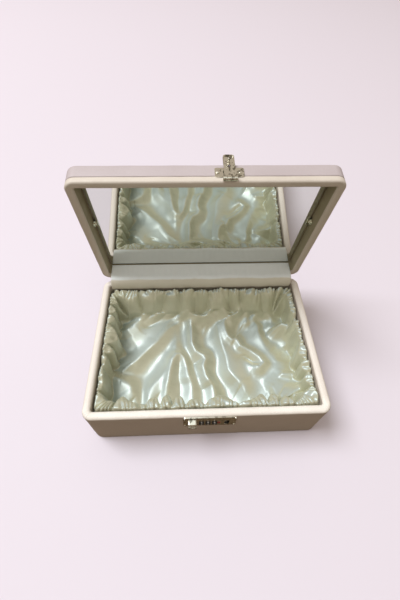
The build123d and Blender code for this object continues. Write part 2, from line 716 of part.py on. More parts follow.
def hasp_pin():
    """Pin that the tongue swings on."""
    return hasp_rod((HASP_X - 6.8, HASP_X + 6.8), HASP_PIN_RADIUS)


def hasp_tongue():
    """Tongue folded up over its plate, with raised edges round its inner face."""
    pin_z = LID_Z + HASP_PIN_HEIGHT
    half = TONGUE_WIDTH / 2
    leaf_y = (HASP_PIN_Y - TONGUE_THICKNESS / 2, HASP_PIN_Y + TONGUE_THICKNESS / 2)
    leaf_z = (pin_z + 3.0, pin_z + TONGUE_LENGTH)
    outer = span_box((HASP_X - half, HASP_X + half), (leaf_y[0] - TONGUE_FLANGE, leaf_y[1]), leaf_z)
    tip_edges = outer.edges().filter_by(Axis.Y).sort_by(Axis.Z)[2:]
    outer = fillet(tip_edges, 2.6)
    dish_x = (HASP_X - half + 1.0, HASP_X + half - 1.0)
    dish = span_box(dish_x, (leaf_y[0] - TONGUE_FLANGE, leaf_y[0]), (leaf_z[0] - 1, leaf_z[1] - 1.0))
    dish_tip = dish.edges().filter_by(Axis.Y).sort_by(Axis.Z)[2:]
    tongue = outer - fillet(dish_tip, 1.6)
    tongue += span_box((HASP_X - 2.9, HASP_X + 2.9), leaf_y, (pin_z, leaf_z[0] + 1))
    tongue += hasp_rod((HASP_X - 2.9, HASP_X + 2.9), HASP_KNUCKLE_RADIUS)
    tongue -= hasp_rod((HASP_X - 4, HASP_X + 4), HASP_HOLE_RADIUS)
    slot = span_box((HASP_X - 0.8, HASP_X + 0.8), (leaf_y[0] - 1, leaf_y[1] + 1), (pin_z + 8, pin_z + 17))
    return tongue - slot - hasp_stud()


def hasp_stud():
    """Headed stud riveted into the tongue, which the lock's bolt catches."""
    stud_z = LID_Z + HASP_PIN_HEIGHT + STUD_ARM
    face_y = HASP_PIN_Y - TONGUE_THICKNESS / 2
    tip_y = face_y - STUD_LENGTH
    neck = rod((HASP_X, tip_y, stud_z), (HASP_X, face_y + TONGUE_THICKNESS, stud_z), STUD_NECK_RADIUS)
    head = rod((HASP_X, tip_y, stud_z), (HASP_X, tip_y + STUD_HEAD, stud_z), STUD_HEAD_RADIUS)
    return neck + fillet(head.edges().sort_by(Axis.Y)[0], 0.5)


def base_pieces():
    """Everything that stays on the table."""
    pieces = {
        "base_bottom_sheet": base_bottom_sheet(),
        "base_wall_cover": base_wall_cover(),
        "base_bottom_board": base_bottom_board(),
        "base_rim_cover": base_rim_cover(),
        "floor_foam": floor_foam(),
        "satin_floor": satin_floor(),
        "hinge_flap": hinge_flap(),
        "hinge_leaves_base": base_hinge_leaves(),
        "hinge_screws_base": base_hinge_screws(),
        "hinge_pins": hinge_pins(),
        "lock_plate": lock_plate(),
        "lock_case": lock_case(),
        "lock_rivets": group(*lock_rivet_list()),
        "lock_index": lock_index(),
        "dial_axle": dial_axle(),
        "dial_detent_spring": detent_spring(),
        "lock_bolt": lock_bolt(),
        "lock_bolt_spring": bolt_spring(),
        "lock_knob": lock_knob(),
    }
    pieces.update(base_wall_boards())
    pieces.update(inner_cards())
    pieces.update(satin_walls())
    for number, x_centre in enumerate(WHEEL_CENTRES, start=1):
        pieces[f"number_wheel_{number}"] = number_wheel(x_centre)
    return pieces


def lid_pieces():
    """Everything that turns with the lid, as it lies when closed."""
    pieces = {
        "lid_cover": lid_cover(),
        "lid_rim_cover": lid_rim_cover(),
        "lid_top_board": lid_top_board(),
        "mirror_card": mirror_card(),
        "mirror_glass": mirror_glass(),
        "mirror_clip_left": mirror_clip(-1),
        "mirror_clip_right": mirror_clip(1),
        "mirror_clip_screws": mirror_clip_screws(),
        "hinge_leaves_lid": lid_hinge_leaves(),
        "hinge_screws_lid": lid_hinge_screws(),
        "hasp_plate": hasp_plate(),
        "hasp_screws": hasp_screws(),
        "hasp_pin": hasp_pin(),
        "hasp_tongue": hasp_tongue(),
        "hasp_stud": hasp_stud(),
    }
    pieces.update(lid_wall_boards())
    return pieces


def main():
    """Write one file for each piece, with the lid turned open."""
    os.makedirs("parts", exist_ok=True)
    pieces = base_pieces()
    for name, shape in lid_pieces().items():
        pieces[name] = open_lid(shape)
    for name, shape in pieces.items():
        export_step(shape, f"parts/{name}.step")


main()
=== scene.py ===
"""An open makeup box with a mirror lid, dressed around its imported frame.

The rigid metal pieces keep their frame nodes and get their finish here. The
leatherette, the satin lining, the hinge flap and the figures on the number
wheels are modelled here. Sizes are in millimetres until a mesh is finished.
"""

import json
import logging
import math
from dataclasses import dataclass
from enum import Enum

import bmesh
import bpy
import numpy as np
from mathutils import Matrix, Vector, noise

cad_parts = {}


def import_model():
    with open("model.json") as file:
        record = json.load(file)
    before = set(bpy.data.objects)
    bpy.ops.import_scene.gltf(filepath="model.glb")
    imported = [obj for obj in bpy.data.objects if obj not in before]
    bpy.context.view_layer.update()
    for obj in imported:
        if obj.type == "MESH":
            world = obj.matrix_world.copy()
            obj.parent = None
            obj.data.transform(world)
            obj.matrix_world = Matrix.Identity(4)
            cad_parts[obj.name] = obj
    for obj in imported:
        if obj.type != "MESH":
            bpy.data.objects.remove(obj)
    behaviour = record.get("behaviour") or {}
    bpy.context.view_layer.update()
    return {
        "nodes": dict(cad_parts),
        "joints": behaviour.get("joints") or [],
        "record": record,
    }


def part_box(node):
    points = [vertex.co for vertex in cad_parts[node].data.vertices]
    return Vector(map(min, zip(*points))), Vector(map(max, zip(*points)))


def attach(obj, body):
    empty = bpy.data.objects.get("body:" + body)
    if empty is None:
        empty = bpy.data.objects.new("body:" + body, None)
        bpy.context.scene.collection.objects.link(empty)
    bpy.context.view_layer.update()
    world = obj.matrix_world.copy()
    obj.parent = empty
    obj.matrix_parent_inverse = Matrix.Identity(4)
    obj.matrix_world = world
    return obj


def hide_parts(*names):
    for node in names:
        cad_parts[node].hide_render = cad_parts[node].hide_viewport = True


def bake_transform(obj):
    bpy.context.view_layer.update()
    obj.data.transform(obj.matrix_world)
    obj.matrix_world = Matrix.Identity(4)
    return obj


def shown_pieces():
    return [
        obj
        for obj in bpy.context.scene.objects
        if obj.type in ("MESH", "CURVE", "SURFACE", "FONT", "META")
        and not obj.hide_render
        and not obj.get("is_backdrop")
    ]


LOG = logging.getLogger("makeup_box")
MM = 0.001

# Gap between the closed rims, height of the base's paler rim strip of painted light, smallest corner and
# merge distance
RIM_GAP = 0.4
LIT_RIM_STRIP = 3.5
LEAST_CORNER = 1.0
MERGE_DISTANCE = 0.001
# Share of its length that a straight edge has along its axis
STRAIGHT_SHARE = 0.95
SHOWN_FIGURES = (5, 0, 7)

Ring = tuple[float, float]
Colour = tuple[float, float, float]
BMesh = bmesh.types.BMesh
Material = bpy.types.Material
Piece = bpy.types.Object
Socket = bpy.types.NodeSocket


class Wall(Enum):
    """Walls of the tray that the satin is gathered along."""

    LEFT = (-1.0, 0.0)
    RIGHT = (1.0, 0.0)
    FRONT = (0.0, -1.0)
    BACK = (0.0, 1.0)


@dataclass(frozen=True)
class Ripple:
    """Smooth noise in millimetres: its depth, the distance between its dips and its seed."""

    depth: float
    spacing: float
    seed: float


@dataclass(frozen=True)
class Patches:
    """Soft patches in a finish: noise for each metre and the values it is mapped to."""

    scale: float
    detail: float
    start: float
    end: float
    least: float
    most: float


@dataclass(frozen=True)
class Relief:
    """One layer of fine relief: noise for each metre, its share and its depth in metres."""

    scale: float
    detail: float
    strength: float
    depth: float


class NodeSketch:
    """Builds the node tree of one material."""

    noise_roughness = 0.55

    def __init__(self, name: str) -> None:
        """Start an empty material.

        Args:
            name: Name of the material.
        """
        self.material = bpy.data.materials.new(name)
        self.material.use_nodes = True
        self.tree = self.material.node_tree
        self.tree.nodes.clear()
        self.output = self.add("ShaderNodeOutputMaterial")

    def add(self, kind: str, inputs: dict | None = None, **settings: object) -> bpy.types.Node:
        """Add one node.

        Args:
            kind: Type name of the node.
            inputs: Socket names or numbers with a value or a socket to link.
            **settings: Attributes of the node.

        Returns:
            The new node.
        """
        node = self.tree.nodes.new(kind)
        for key, value in settings.items():
            setattr(node, key, value)
        for key, value in (inputs or {}).items():
            if isinstance(value, Socket):
                self.tree.links.new(value, node.inputs[key])
            else:
                node.inputs[key].default_value = value
        return node

    def place(self, stretch: tuple[float, float, float] = (1.0, 1.0, 1.0)) -> Socket:
        """Object coordinates, each axis multiplied by its factor.

        Args:
            stretch: Factors of the axes.

        Returns:
            The vector socket.
        """
        coordinates = self.add("ShaderNodeTexCoord")
        settings = {"Vector": coordinates.outputs["Object"], "Scale": stretch}
        return self.add("ShaderNodeMapping", settings).outputs["Vector"]

    def noise(self, scale: float, detail: float, vector: Socket | None = None) -> Socket:
        """Noise between 0 and 1.

        Args:
            scale: Features for each metre.
            detail: Octaves.
            vector: Coordinates, or the object's own.

        Returns:
            The value socket.
        """
        source = vector if vector is not None else self.place()
        settings = {"Vector": source, "Scale": scale, "Detail": detail, "Roughness": self.noise_roughness}
        return self.add("ShaderNodeTexNoise", settings).outputs["Fac"]

    def ramp(self, value: Socket, low: float, high: float, to_low: float, to_high: float) -> Socket:
        """Map a range of values to another one.

        Args:
            value: Value to map.
            low: Start of the range.
            high: End of the range.
            to_low: Result at the start.
            to_high: Result at the end.

        Returns:
            The value socket.
        """
        settings = {"Value": value, "From Min": low, "From Max": high, "To Min": to_low, "To Max": to_high}
        return self.add("ShaderNodeMapRange", settings).outputs["Result"]

    def patches(self, patches: Patches, vector: Socket | None = None) -> Socket:
        """Noise mapped to a range.

        Args:
            patches: Size and range of the patches.
            vector: Coordinates, or the object's own.

        Returns:
            The value socket.
        """
        value = self.noise(patches.scale, patches.detail, vector)
        return self.ramp(value, patches.start, patches.end, patches.least, patches.most)

    def mix(self, factor: Socket, first: Colour | Socket, second: Colour | Socket) -> Socket:
        """Mix two colours.

        Args:
            factor: Share of the second colour.
            first: Colour or socket.
            second: Colour or socket.

        Returns:
            The colour socket.
        """
        node = self.add("ShaderNodeMix", {0: factor}, data_type="RGBA")
        for socket, value in ((6, first), (7, second)):
            if isinstance(value, Socket):
                self.tree.links.new(value, node.inputs[socket])
            else:
                node.inputs[socket].default_value = with_alpha(value)
        return node.outputs[2]

    def relief(self, relief: Relief, height: Socket | None = None, normal: Socket | None = None) -> Socket:
        """Turn noise or a given height into a normal.

        Args:
            relief: Size, share and depth of the layer.
            height: Height value, or noise.
            normal: Normal to start from.

        Returns:
            The normal socket.
        """
        value = height if height is not None else self.noise(relief.scale, relief.detail)
        settings = {"Height": value, "Strength": relief.strength, "Distance": relief.depth}
        if normal is not None:
            settings["Normal"] = normal
        return self.add("ShaderNodeBump", settings).outputs["Normal"]

    def finish(self, inputs: dict) -> Material:
        """Close the tree with the main shader.

        Args:
            inputs: Values and sockets of the shader.

        Returns:
            The finished material.
        """
        shader = self.add("ShaderNodeBsdfPrincipled", inputs)
        self.tree.links.new(shader.outputs[0], self.output.inputs["Surface"])
        return self.material


def with_alpha(colour: Colour) -> tuple[float, float, float, float]:
    """A colour with a full fourth value."""
    return (*colour, 1.0)


@dataclass(frozen=True)
class Leatherette:
    """Fine-grained leatherette with soft wear, faint stains and, on the base, painted light on the rim: a
    paler top strip and a painted highlight along the front.
    """

    name: str
    colour: Colour = (0.57, 0.50, 0.45)
    worn: Colour = (0.50, 0.44, 0.39)
    # Painted light: the paler tone of the rim's top strip and the brighter painted highlight along its front
    # edge
    pale: Colour = (0.84, 0.79, 0.73)
    front_highlight: Colour = (0.96, 0.93, 0.87)
    lit_rim_from: float = 0.0
    lit_rim_blend: float = 0.0015
    front_highlight_before: float = -0.08
    front_highlight_blend: float = 0.008
    stained_share: float = 0.93
    pore_tint: Colour = (0.80, 0.78, 0.76)
    pore_edge: float = 0.55
    pore_share: float = 0.35
    stains: Patches = Patches(26.0, 4.0, 0.35, 0.75, 0.0, 0.55)
    gloss: Patches = Patches(60.0, 3.0, 0.3, 0.7, 0.44, 0.58)
    grain: Relief = Relief(1500.0, 0.0, 0.35, 0.00012)
    fine_grain: Relief = Relief(5200.0, 2.0, 0.2, 0.00006)
    dents: Relief = Relief(90.0, 2.0, 0.25, 0.0008)
    specular: float = 0.4

    def rim(self, sketch: NodeSketch, tone: Socket, stains: Socket) -> Socket:
        """Paint light on the rim: a paler top strip with a brighter painted highlight along the front.

        Args:
            sketch: Node tree of the material.
            tone: Colour of the walls.
            stains: Share of the stains.

        Returns:
            The colour socket.
        """
        # Painted light: the top strip is made paler and its front brighter still; real stains darken it a
        # little
        place = sketch.add("ShaderNodeSeparateXYZ", {0: sketch.place()})
        strip = sketch.ramp(place.outputs["Z"], self.lit_rim_from, self.lit_rim_from + self.lit_rim_blend, 0.0, 1.0)
        behind = self.front_highlight_before + self.front_highlight_blend
        front = sketch.ramp(place.outputs["Y"], self.front_highlight_before, behind, 1.0, 0.0)
        stained = tuple(self.stained_share * value for value in self.pale)
        pale = sketch.mix(stains, sketch.mix(front, self.pale, self.front_highlight), stained)
        return sketch.mix(strip, tone, pale)

    def build(self) -> Material:
        """Make the material."""
        sketch = NodeSketch(self.name)
        cells = sketch.add("ShaderNodeTexVoronoi", {"Vector": sketch.place(), "Scale": self.grain.scale})
        from_pore = cells.outputs["Distance"]
        stains = sketch.patches(self.stains)
        tone = sketch.mix(stains, self.colour, self.worn)
        # The base's rim gets painted light
        if self.lit_rim_from > 0.0:
            tone = self.rim(sketch, tone, stains)
        pores = sketch.ramp(from_pore, 0.0, self.pore_edge, self.pore_share, 0.0)
        dark = tuple(value * tint for value, tint in zip(self.worn, self.pore_tint))
        normal = sketch.relief(self.grain, height=from_pore)
        normal = sketch.relief(self.fine_grain, normal=normal)
        inputs = {
            "Base Color": sketch.mix(pores, tone, dark),
            "Roughness": sketch.patches(self.gloss),
            "Normal": sketch.relief(self.dents, normal=normal),
            "Specular IOR Level": self.specular,
        }
        return sketch.finish(inputs)


@dataclass(frozen=True)
class Satin:
    """Glossy woven satin with a painted cool sheen where it faces up and a little to the left."""

    name: str
    colour: Colour = (0.62, 0.62, 0.48)
    deep: Colour = (0.51, 0.51, 0.37)
    # Painted sheen: its cool colour and the facing over which it comes in
    cool: Colour = (0.47, 0.545, 0.525)
    painted_sheen_side: tuple[float, float, float] = (-0.35, 0.0, 0.937)
    cool_from: float = 0.76
    cool_to: float = 0.99
    # Painted shade: the tone that darkens the sheet below a given height
    shade_tone: Colour = (0.72, 0.69, 0.60)
    shaded_below: float = 0.0
    shade_blend: float = 0.0012
    thread: float = 3200.0
    thread_bend: float = 1.5
    thread_share: float = 0.12
    slubs: Patches = Patches(38.0, 3.0, 0.3, 0.75, 0.0, 0.7)
    slub_stretch: tuple[float, float, float] = (1.0, 3.0, 1.0)
    gloss: Patches = Patches(70.0, 3.0, 0.3, 0.7, 0.34, 0.44)
    weave: Relief = Relief(900.0, 2.0, 0.05, 0.00004)
    metallic: float = 0.25
    specular: float = 0.6
    specular_tint: Colour = (0.90, 0.98, 1.0)
    sheen: float = 0.2
    sheen_roughness: float = 0.3
    sheen_tint: Colour = (0.80, 0.92, 0.96)

    def build(self) -> Material:
        """Make the material."""
        sketch = NodeSketch(self.name)
        settings = {"Vector": sketch.place(), "Scale": self.thread, "Distortion": self.thread_bend}
        warp = sketch.add("ShaderNodeTexWave", settings, bands_direction="X")
        # Painted sheen: a cool pale tone is mixed in where the surface faces up and to the left, towards the
        # lamps
        slope = sketch.add("ShaderNodeTexCoord").outputs["Normal"]
        facing = sketch.add("ShaderNodeVectorMath", {0: slope, 1: self.painted_sheen_side}, operation="DOT_PRODUCT")
        cool = sketch.ramp(facing.outputs["Value"], self.cool_from, self.cool_to, 0.0, 1.0)
        slubs = sketch.patches(self.slubs, sketch.place(self.slub_stretch))
        threads = sketch.ramp(warp.outputs["Fac"], 0.0, 1.0, 0.0, self.thread_share)
        tone = sketch.mix(slubs, self.colour, self.deep)
        tone = sketch.mix(threads, tone, self.deep)
        tone = sketch.mix(cool, tone, self.cool)
        # Painted shade below a given height, where the flap turns down into the tray
        if self.shaded_below > 0.0:
            place = sketch.add("ShaderNodeSeparateXYZ", {0: sketch.place()})
            full_shade_level = self.shaded_below - self.shade_blend
            shade_share = sketch.ramp(place.outputs["Z"], full_shade_level, self.shaded_below, 1.0, 0.0)
            tone = sketch.mix(shade_share, tone, self.shade_tone)
        inputs = {
            "Base Color": tone,
            "Metallic": self.metallic,
            "Roughness": sketch.patches(self.gloss),
            "Normal": sketch.relief(self.weave),
            "Specular IOR Level": self.specular,
            "Specular Tint": with_alpha(self.specular_tint),
            "Sheen Weight": self.sheen,
            "Sheen Roughness": self.sheen_roughness,
            "Sheen Tint": with_alpha(self.sheen_tint),
        }
        return sketch.finish(inputs)


@dataclass(frozen=True)
class Metal:
    """Plated or plain metal with patches of painted dark reflection, smudges and fine scratches."""

    name: str
    colour: Colour = (0.80, 0.78, 0.69)
    dark_reflection: Colour = (0.12, 0.105, 0.065)
    reflection_patches: Patches = Patches(300.0, 1.5, 0.53, 0.64, 0.0, 0.75)
    gloss: Patches = Patches(260.0, 4.0, 0.25, 0.75, 0.11, 0.28)
    scratches: Relief = Relief(900.0, 2.0, 0.08, 0.00004)
    scratch_stretch: tuple[float, float, float] = (0.25, 1.0, 6.0)

    def build(self) -> Material:
        """Make the material."""
        sketch = NodeSketch(self.name)
        # Painted reflection: dark patches stand in for the room reflected in the plating
        tone = sketch.mix(sketch.patches(self.reflection_patches), self.colour, self.dark_reflection)
        along = sketch.place(self.scratch_stretch)
        lines = sketch.noise(self.scratches.scale, self.scratches.detail, along)
        inputs = {
            "Base Color": tone,
            "Metallic": 1.0,
            "Roughness": sketch.patches(self.gloss),
            "Normal": sketch.relief(self.scratches, height=lines),
        }
        return sketch.finish(inputs)


@dataclass(frozen=True)
class MirrorGlass:
    """Silvered glass with a trace of dust."""

    name: str
    colour: Colour = (0.74, 0.75, 0.72)
    dusty: Colour = (0.82, 0.84, 0.83)
    dust: Patches = Patches(700.0, 4.0, 0.62, 0.85, 0.0, 0.3)

    def build(self) -> Material:
        """Make the material."""
        sketch = NodeSketch(self.name)
        tone = sketch.mix(sketch.patches(self.dust), self.colour, self.dusty)
        return sketch.finish({"Base Color": tone, "Metallic": 1.0, "Roughness": 0.0})


@dataclass(frozen=True)
class Gloss:
    """Hard plastic or enamel with light scuffs."""

    name: str
    colour: Colour
    roughness: float = 0.28
    scuff_roughness: float = 0.2
    scuff_kept: float = 0.8
    scuff_lift: float = 0.12
    scuffs: Patches = Patches(1400.0, 3.0, 0.55, 0.8, 0.0, 0.35)

    def build(self) -> Material:
        """Make the material."""
        sketch = NodeSketch(self.name)
        scuff = sketch.patches(self.scuffs)
        lifted = tuple(value * self.scuff_kept + self.scuff_lift for value in self.colour)
        rougher = self.roughness + self.scuff_roughness
        gloss = sketch.ramp(scuff, 0.0, self.scuffs.most, self.roughness, rougher)
        return sketch.finish({"Base Color": sketch.mix(scuff, self.colour, lifted), "Roughness": gloss})


@dataclass(frozen=True)
class Fibrous:
    """Board, card, foam or paper with visible fibres or cells."""

    name: str
    colour: Colour
    fleck: Colour
    scale: float = 500.0
    stretch: tuple[float, float, float] = (1.0, 3.0, 1.0)
    detail: float = 5.0
    fleck_from: float = 0.35
    fleck_to: float = 0.7
    strength: float = 0.3
    depth: float = 0.0002
    roughness: float = 0.85

    def build(self) -> Material:
        """Make the material."""
        sketch = NodeSketch(self.name)
        fibres = sketch.noise(self.scale, self.detail, sketch.place(self.stretch))
        flecks = sketch.ramp(fibres, self.fleck_from, self.fleck_to, 0.0, 1.0)
        inputs = {
            "Base Color": sketch.mix(flecks, self.colour, self.fleck),
            "Roughness": self.roughness,
            "Normal": sketch.relief(Relief(self.scale, self.detail, self.strength, self.depth), fibres),
        }
        return sketch.finish(inputs)


@dataclass(frozen=True)
class PaleFloor:
    """Plain pale floor that sends little light back up to the object."""

    name: str
    seen: Colour = (0.753, 0.715, 0.80)
    bounced: Colour = (0.14, 0.10, 0.06)
    roughness: float = 0.9
    specular: float = 0.1

    def build(self) -> Material:
        """Make the material."""
        sketch = NodeSketch(self.name)
        path = sketch.add("ShaderNodeLightPath")
        rays = {0: path.outputs["Is Glossy Ray"], 1: path.outputs["Is Singular Ray"]}
        mirrored = sketch.add("ShaderNodeMath", rays, operation="MULTIPLY")
        rays = {0: path.outputs["Is Camera Ray"], 1: mirrored.outputs[0]}
        direct = sketch.add("ShaderNodeMath", rays, operation="MAXIMUM")
        tone = sketch.mix(direct.outputs[0], self.bounced, self.seen)
        inputs = {"Base Color": tone, "Roughness": self.roughness, "Specular IOR Level": self.specular}
        return sketch.finish(inputs)


def show(name: str, bm: BMesh, material: Material, sharp: float | None = None) -> Piece:
    """Turn a bmesh in millimetres into an object in metres.

    Args:
        name: Name of the piece.
        bm: Finished bmesh, which is freed.
        material: Its finish.
        sharp: Angle in degrees above which an edge is sharp.

    Returns:
        The new object.
    """
    bmesh.ops.scale(bm, vec=(MM, MM, MM), verts=bm.verts)
    mesh = bpy.data.meshes.new(name)
    bm.to_mesh(mesh)
    bm.free()
    mesh.materials.append(material)
    mesh.shade_smooth()
    if sharp is not None:
        mesh.set_sharp_from_angle(angle=math.radians(sharp))
    piece = bpy.data.objects.new(name, mesh)
    bpy.context.scene.collection.objects.link(piece)
    return piece


def arc(centre: Ring, radius: float, start: float, end: float, steps: int = 5) -> list[Ring]:
    """Part of a round edge in a section.

    Args:
        centre: Inset and height of its centre.
        radius: Its radius.
        start: First angle in degrees, 0 pointing inwards, 90 up.
        end: Last angle.
        steps: Number of segments.

    Returns:
        Inset and height of each ring.
    """
    rings = []
    for step in range(steps + 1):
        angle = math.radians(start + (end - start) * step / steps)
        rings.append((centre[0] + radius * math.cos(angle), centre[1] + radius * math.sin(angle)))
    return rings


def rounded_loop(bm: BMesh, half: Ring, radius: float, level: float, steps: int) -> list[bmesh.types.BMEdge]:
    """One level rounded rectangle of loose edges.

    Args:
        bm: Mesh that receives it.
        half: Half sizes along X and Y.
        radius: Corner radius.
        level: Height.
        steps: Segments of each corner.

    Returns:
        Its edges.
    """
    before = set(bm.faces)
    corner = bmesh.ops.create_grid(bm, x_segments=1, y_segments=1, size=1.0)["verts"]
    bmesh.ops.scale(bm, vec=(half[0], half[1], 1.0), verts=corner)
    bmesh.ops.translate(bm, vec=(0.0, 0.0, level), verts=corner)
    rounding = {"offset_type": "OFFSET", "affect": "VERTICES", "profile": 0.5, "material": -1}
    bmesh.ops.bevel(bm, geom=corner, offset=radius, segments=steps, **rounding)
    face = next(face for face in bm.faces if face not in before and len(face.verts) > 4)
    edges = list(face.edges)
    bmesh.ops.delete(bm, geom=[face], context="FACES_ONLY")
    return edges


def ringed_shell(half: Ring, radius: float, section: list[Ring], steps: int, closed: bool = False) -> BMesh:
    """Shell with one section all round a rounded rectangle.

    Args:
        half: Half sizes of the outer outline.
        radius: Its corner radius.
        section: Inset from the outline and height of each ring.
        steps: Segments of each corner.
        closed: Whether the last ring gets a face across it.

    Returns:
        The mesh, in millimetres.
    """
    bm = bmesh.new()
    before: list[bmesh.types.BMEdge] = []
    for inset, level in section:
        size = (half[0] - inset, half[1] - inset)
        ring = rounded_loop(bm, size, max(radius - inset, LEAST_CORNER), level, steps)
        if before:
            bmesh.ops.bridge_loops(bm, edges=before + ring)
        before = ring
    if closed:
        bmesh.ops.contextual_create(bm, geom=before)
    return bm


def divide_long_edges(bm: BMesh, longest: float) -> None:
    """Divide the long straight edges along each axis evenly.

    Args:
        bm: Mesh to change.
        longest: Greatest length that an edge keeps.
    """
    for axis in range(3):
        chosen = []
        length = 0.0
        for edge in bm.edges:
            span = edge.verts[1].co - edge.verts[0].co
            if abs(span[axis]) > longest and abs(span[axis]) > STRAIGHT_SHARE * span.length:
                chosen.append(edge)
                length = max(length, span.length)
        if chosen:
            cuts = int(length / longest)
            bmesh.ops.subdivide_edges(bm, edges=chosen, cuts=cuts, use_grid_fill=True)


def finish_shell(bm: BMesh, longest: float, ripple: Ripple) -> None:
    """Divide a shell, point its faces outwards and press gentle unevenness into it.

    Args:
        bm: Mesh to change.
        longest: Greatest length that a straight edge keeps.
        ripple: Unevenness of leatherette over a thin foam.
    """
    divide_long_edges(bm, longest)
    bmesh.ops.remove_doubles(bm, verts=bm.verts, dist=MERGE_DISTANCE)
    bmesh.ops.recalc_face_normals(bm, faces=bm.faces)
    bm.normal_update()
    offset = Vector((ripple.seed, ripple.seed, ripple.seed))
    for vert in bm.verts:
        vert.co += vert.normal * ripple.depth * noise.noise(vert.co / ripple.spacing + offset)


@dataclass
class OpenLid:
    """Where the lid's closed pose lies and how it is turned open."""

    hinge: Vector
    angle: float

    @classmethod
    def from_frame(cls, joints: list[dict]) -> "OpenLid":
        """Read hinge and angle from the frame's lid joint.

        Args:
            joints: Joints of the frame.

        Returns:
            The lid's pose.
        """
        joint = next(joint for joint in joints if joint["name"] == "lid_hinge")
        return cls(Vector(joint["pos_m"]) / MM, math.radians(max(joint["range_deg"])))

    def matrix(self) -> Matrix:
        """Turn from the closed to the open pose, in millimetres."""
        away = Matrix.Translation(self.hinge)
        return away @ Matrix.Rotation(-self.angle, 4, "X") @ away.inverted()

    def turn(self, bm: bmesh.types.BMesh) -> None:
        """Turn a mesh of the closed lid open."""
        bmesh.ops.transform(bm, matrix=self.matrix(), verts=bm.verts)


@dataclass
class BaseCover:
    """Leatherette of the base: walls and rounded rim in one skin."""

    corner_radius: float = 11.0
    corner_steps: int = 36
    turn_in: float = 12.0
    turn_in_rise: float = 0.1
    foot_round: float = 1.7
    foot_top: float = 1.8
    shoulder: float = 1.2
    rim_width: float = 8.5
    rim_round: float = 3.4
    rim_steps: int = 6
    rim_inner_depth: float = 12.0
    longest_edge: float = 6.0
    unevenness: Ripple = Ripple(0.22, 14.0, 3.1)
    crease_angles: tuple[float, ...] = (27.0, 45.0, 62.0)
    crease_depth: float = 0.5
    crease_width: float = 2.2
    crease_run: float = 9.0
    crease_fade: float = 5.0
    puff_height: float = 0.18
    puff_width: float = 9.0
    plate_lap: float = 1.5
    wall_depth: float = 1.0

    def section(self, top: float, bottom: float) -> list[Ring]:
        """Section from the turned-in edge below to the inside of the rim.

        Args:
            top: Height of the rim.
            bottom: Underside of the leatherette.

        Returns:
            Inset and height of each ring.
        """
        rings = [(self.turn_in, bottom + self.turn_in_rise)]
        rings += arc((self.foot_round, bottom + self.foot_round), self.foot_round, 270, 180)[:-1]
        centre = top - self.rim_round
        rings += [(0.0, bottom + self.foot_top), (0.0, centre - self.shoulder)]
        rings += arc((self.rim_round, centre), self.rim_round, 180, 90, self.rim_steps)
        rings.append((self.rim_width / 2, top))
        rings += arc((self.rim_width - self.rim_round, centre), self.rim_round, 90, 0, self.rim_steps)
        rings.append((self.rim_width, top - self.rim_inner_depth))
        return rings

    def crease(self, bm: BMesh, half: Ring, top: float) -> None:
        """Press the folds of the mitred corners into the rim.

        Args:
            bm: Mesh to change.
            half: Half sizes of the base.
            top: Height of the rim.
        """
        bm.normal_update()
        low = top - self.crease_run
        for vert in bm.verts:
            across = abs(vert.co.x) - half[0] + self.corner_radius
            along = abs(vert.co.y) - half[1] + self.corner_radius
            if across <= 0 or along <= 0 or vert.co.z < low:
                continue
            angle = math.degrees(math.atan2(along, across))
            fade = min(1.0, (vert.co.z - low) / self.crease_fade)
            for middle in self.crease_angles:
                press = math.exp(-(((angle - middle) / self.crease_width) ** 2))
                puff = math.exp(-(((angle - middle) / self.puff_width) ** 2))
                vert.co -= vert.normal * fade * (self.crease_depth * press - self.puff_height * puff)

    def open_window(self, bm: BMesh, x_range: Ring, z_range: Ring, behind: float) -> None:
        """Cut the leatherette away behind the lock plate, where the lock sits.

        Args:
            bm: Mesh to change.
            x_range: Sides of the window.
            z_range: Its lower and upper edge.
            behind: The cut only touches faces in front of this Y.
        """
        cuts = [((x, 0.0, 0.0), (1.0, 0.0, 0.0)) for x in x_range]
        cuts += [((0.0, 0.0, z), (0.0, 0.0, 1.0)) for z in z_range]
        for point, normal in cuts:
            faces = [face for face in bm.faces if face.calc_center_median().y < behind]
            edges = {edge for face in faces for edge in face.edges}
            verts = {vert for face in faces for vert in face.verts}
            geometry = faces + list(edges) + list(verts)
            bmesh.ops.bisect_plane(bm, geom=geometry, plane_co=point, plane_no=normal)
        inside = []
        for face in bm.faces:
            x, y, z = face.calc_center_median()
            if y < behind and x_range[0] < x < x_range[1] and z_range[0] < z < z_range[1]:
                inside.append(face)
        bmesh.ops.delete(bm, geom=inside, context="FACES")

    def build(self, half: Ring, material: Material) -> Piece:
        """Make the cover.

        Args:
            half: Half sizes of the base.
            material: Its finish.

        Returns:
            The piece.
        """
        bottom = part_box("base_wall_cover")[0][2] / MM
        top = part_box("base_rim_cover")[1][2] / MM
        bm = ringed_shell(half, self.corner_radius, self.section(top, bottom), self.corner_steps)
        finish_shell(bm, self.longest_edge, self.unevenness)
        self.crease(bm, half, top)
        low, high = (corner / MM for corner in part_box("lock_plate"))
        sides = (low.x + self.plate_lap, high.x - self.plate_lap)
        levels = (low.z + self.plate_lap, high.z - 2 * self.plate_lap)
        self.open_window(bm, sides, levels, self.wall_depth - half[1])
        piece = show("base_leatherette", bm, material)
        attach(piece, "base")
        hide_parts("base_wall_cover", "base_rim_cover")
        return piece


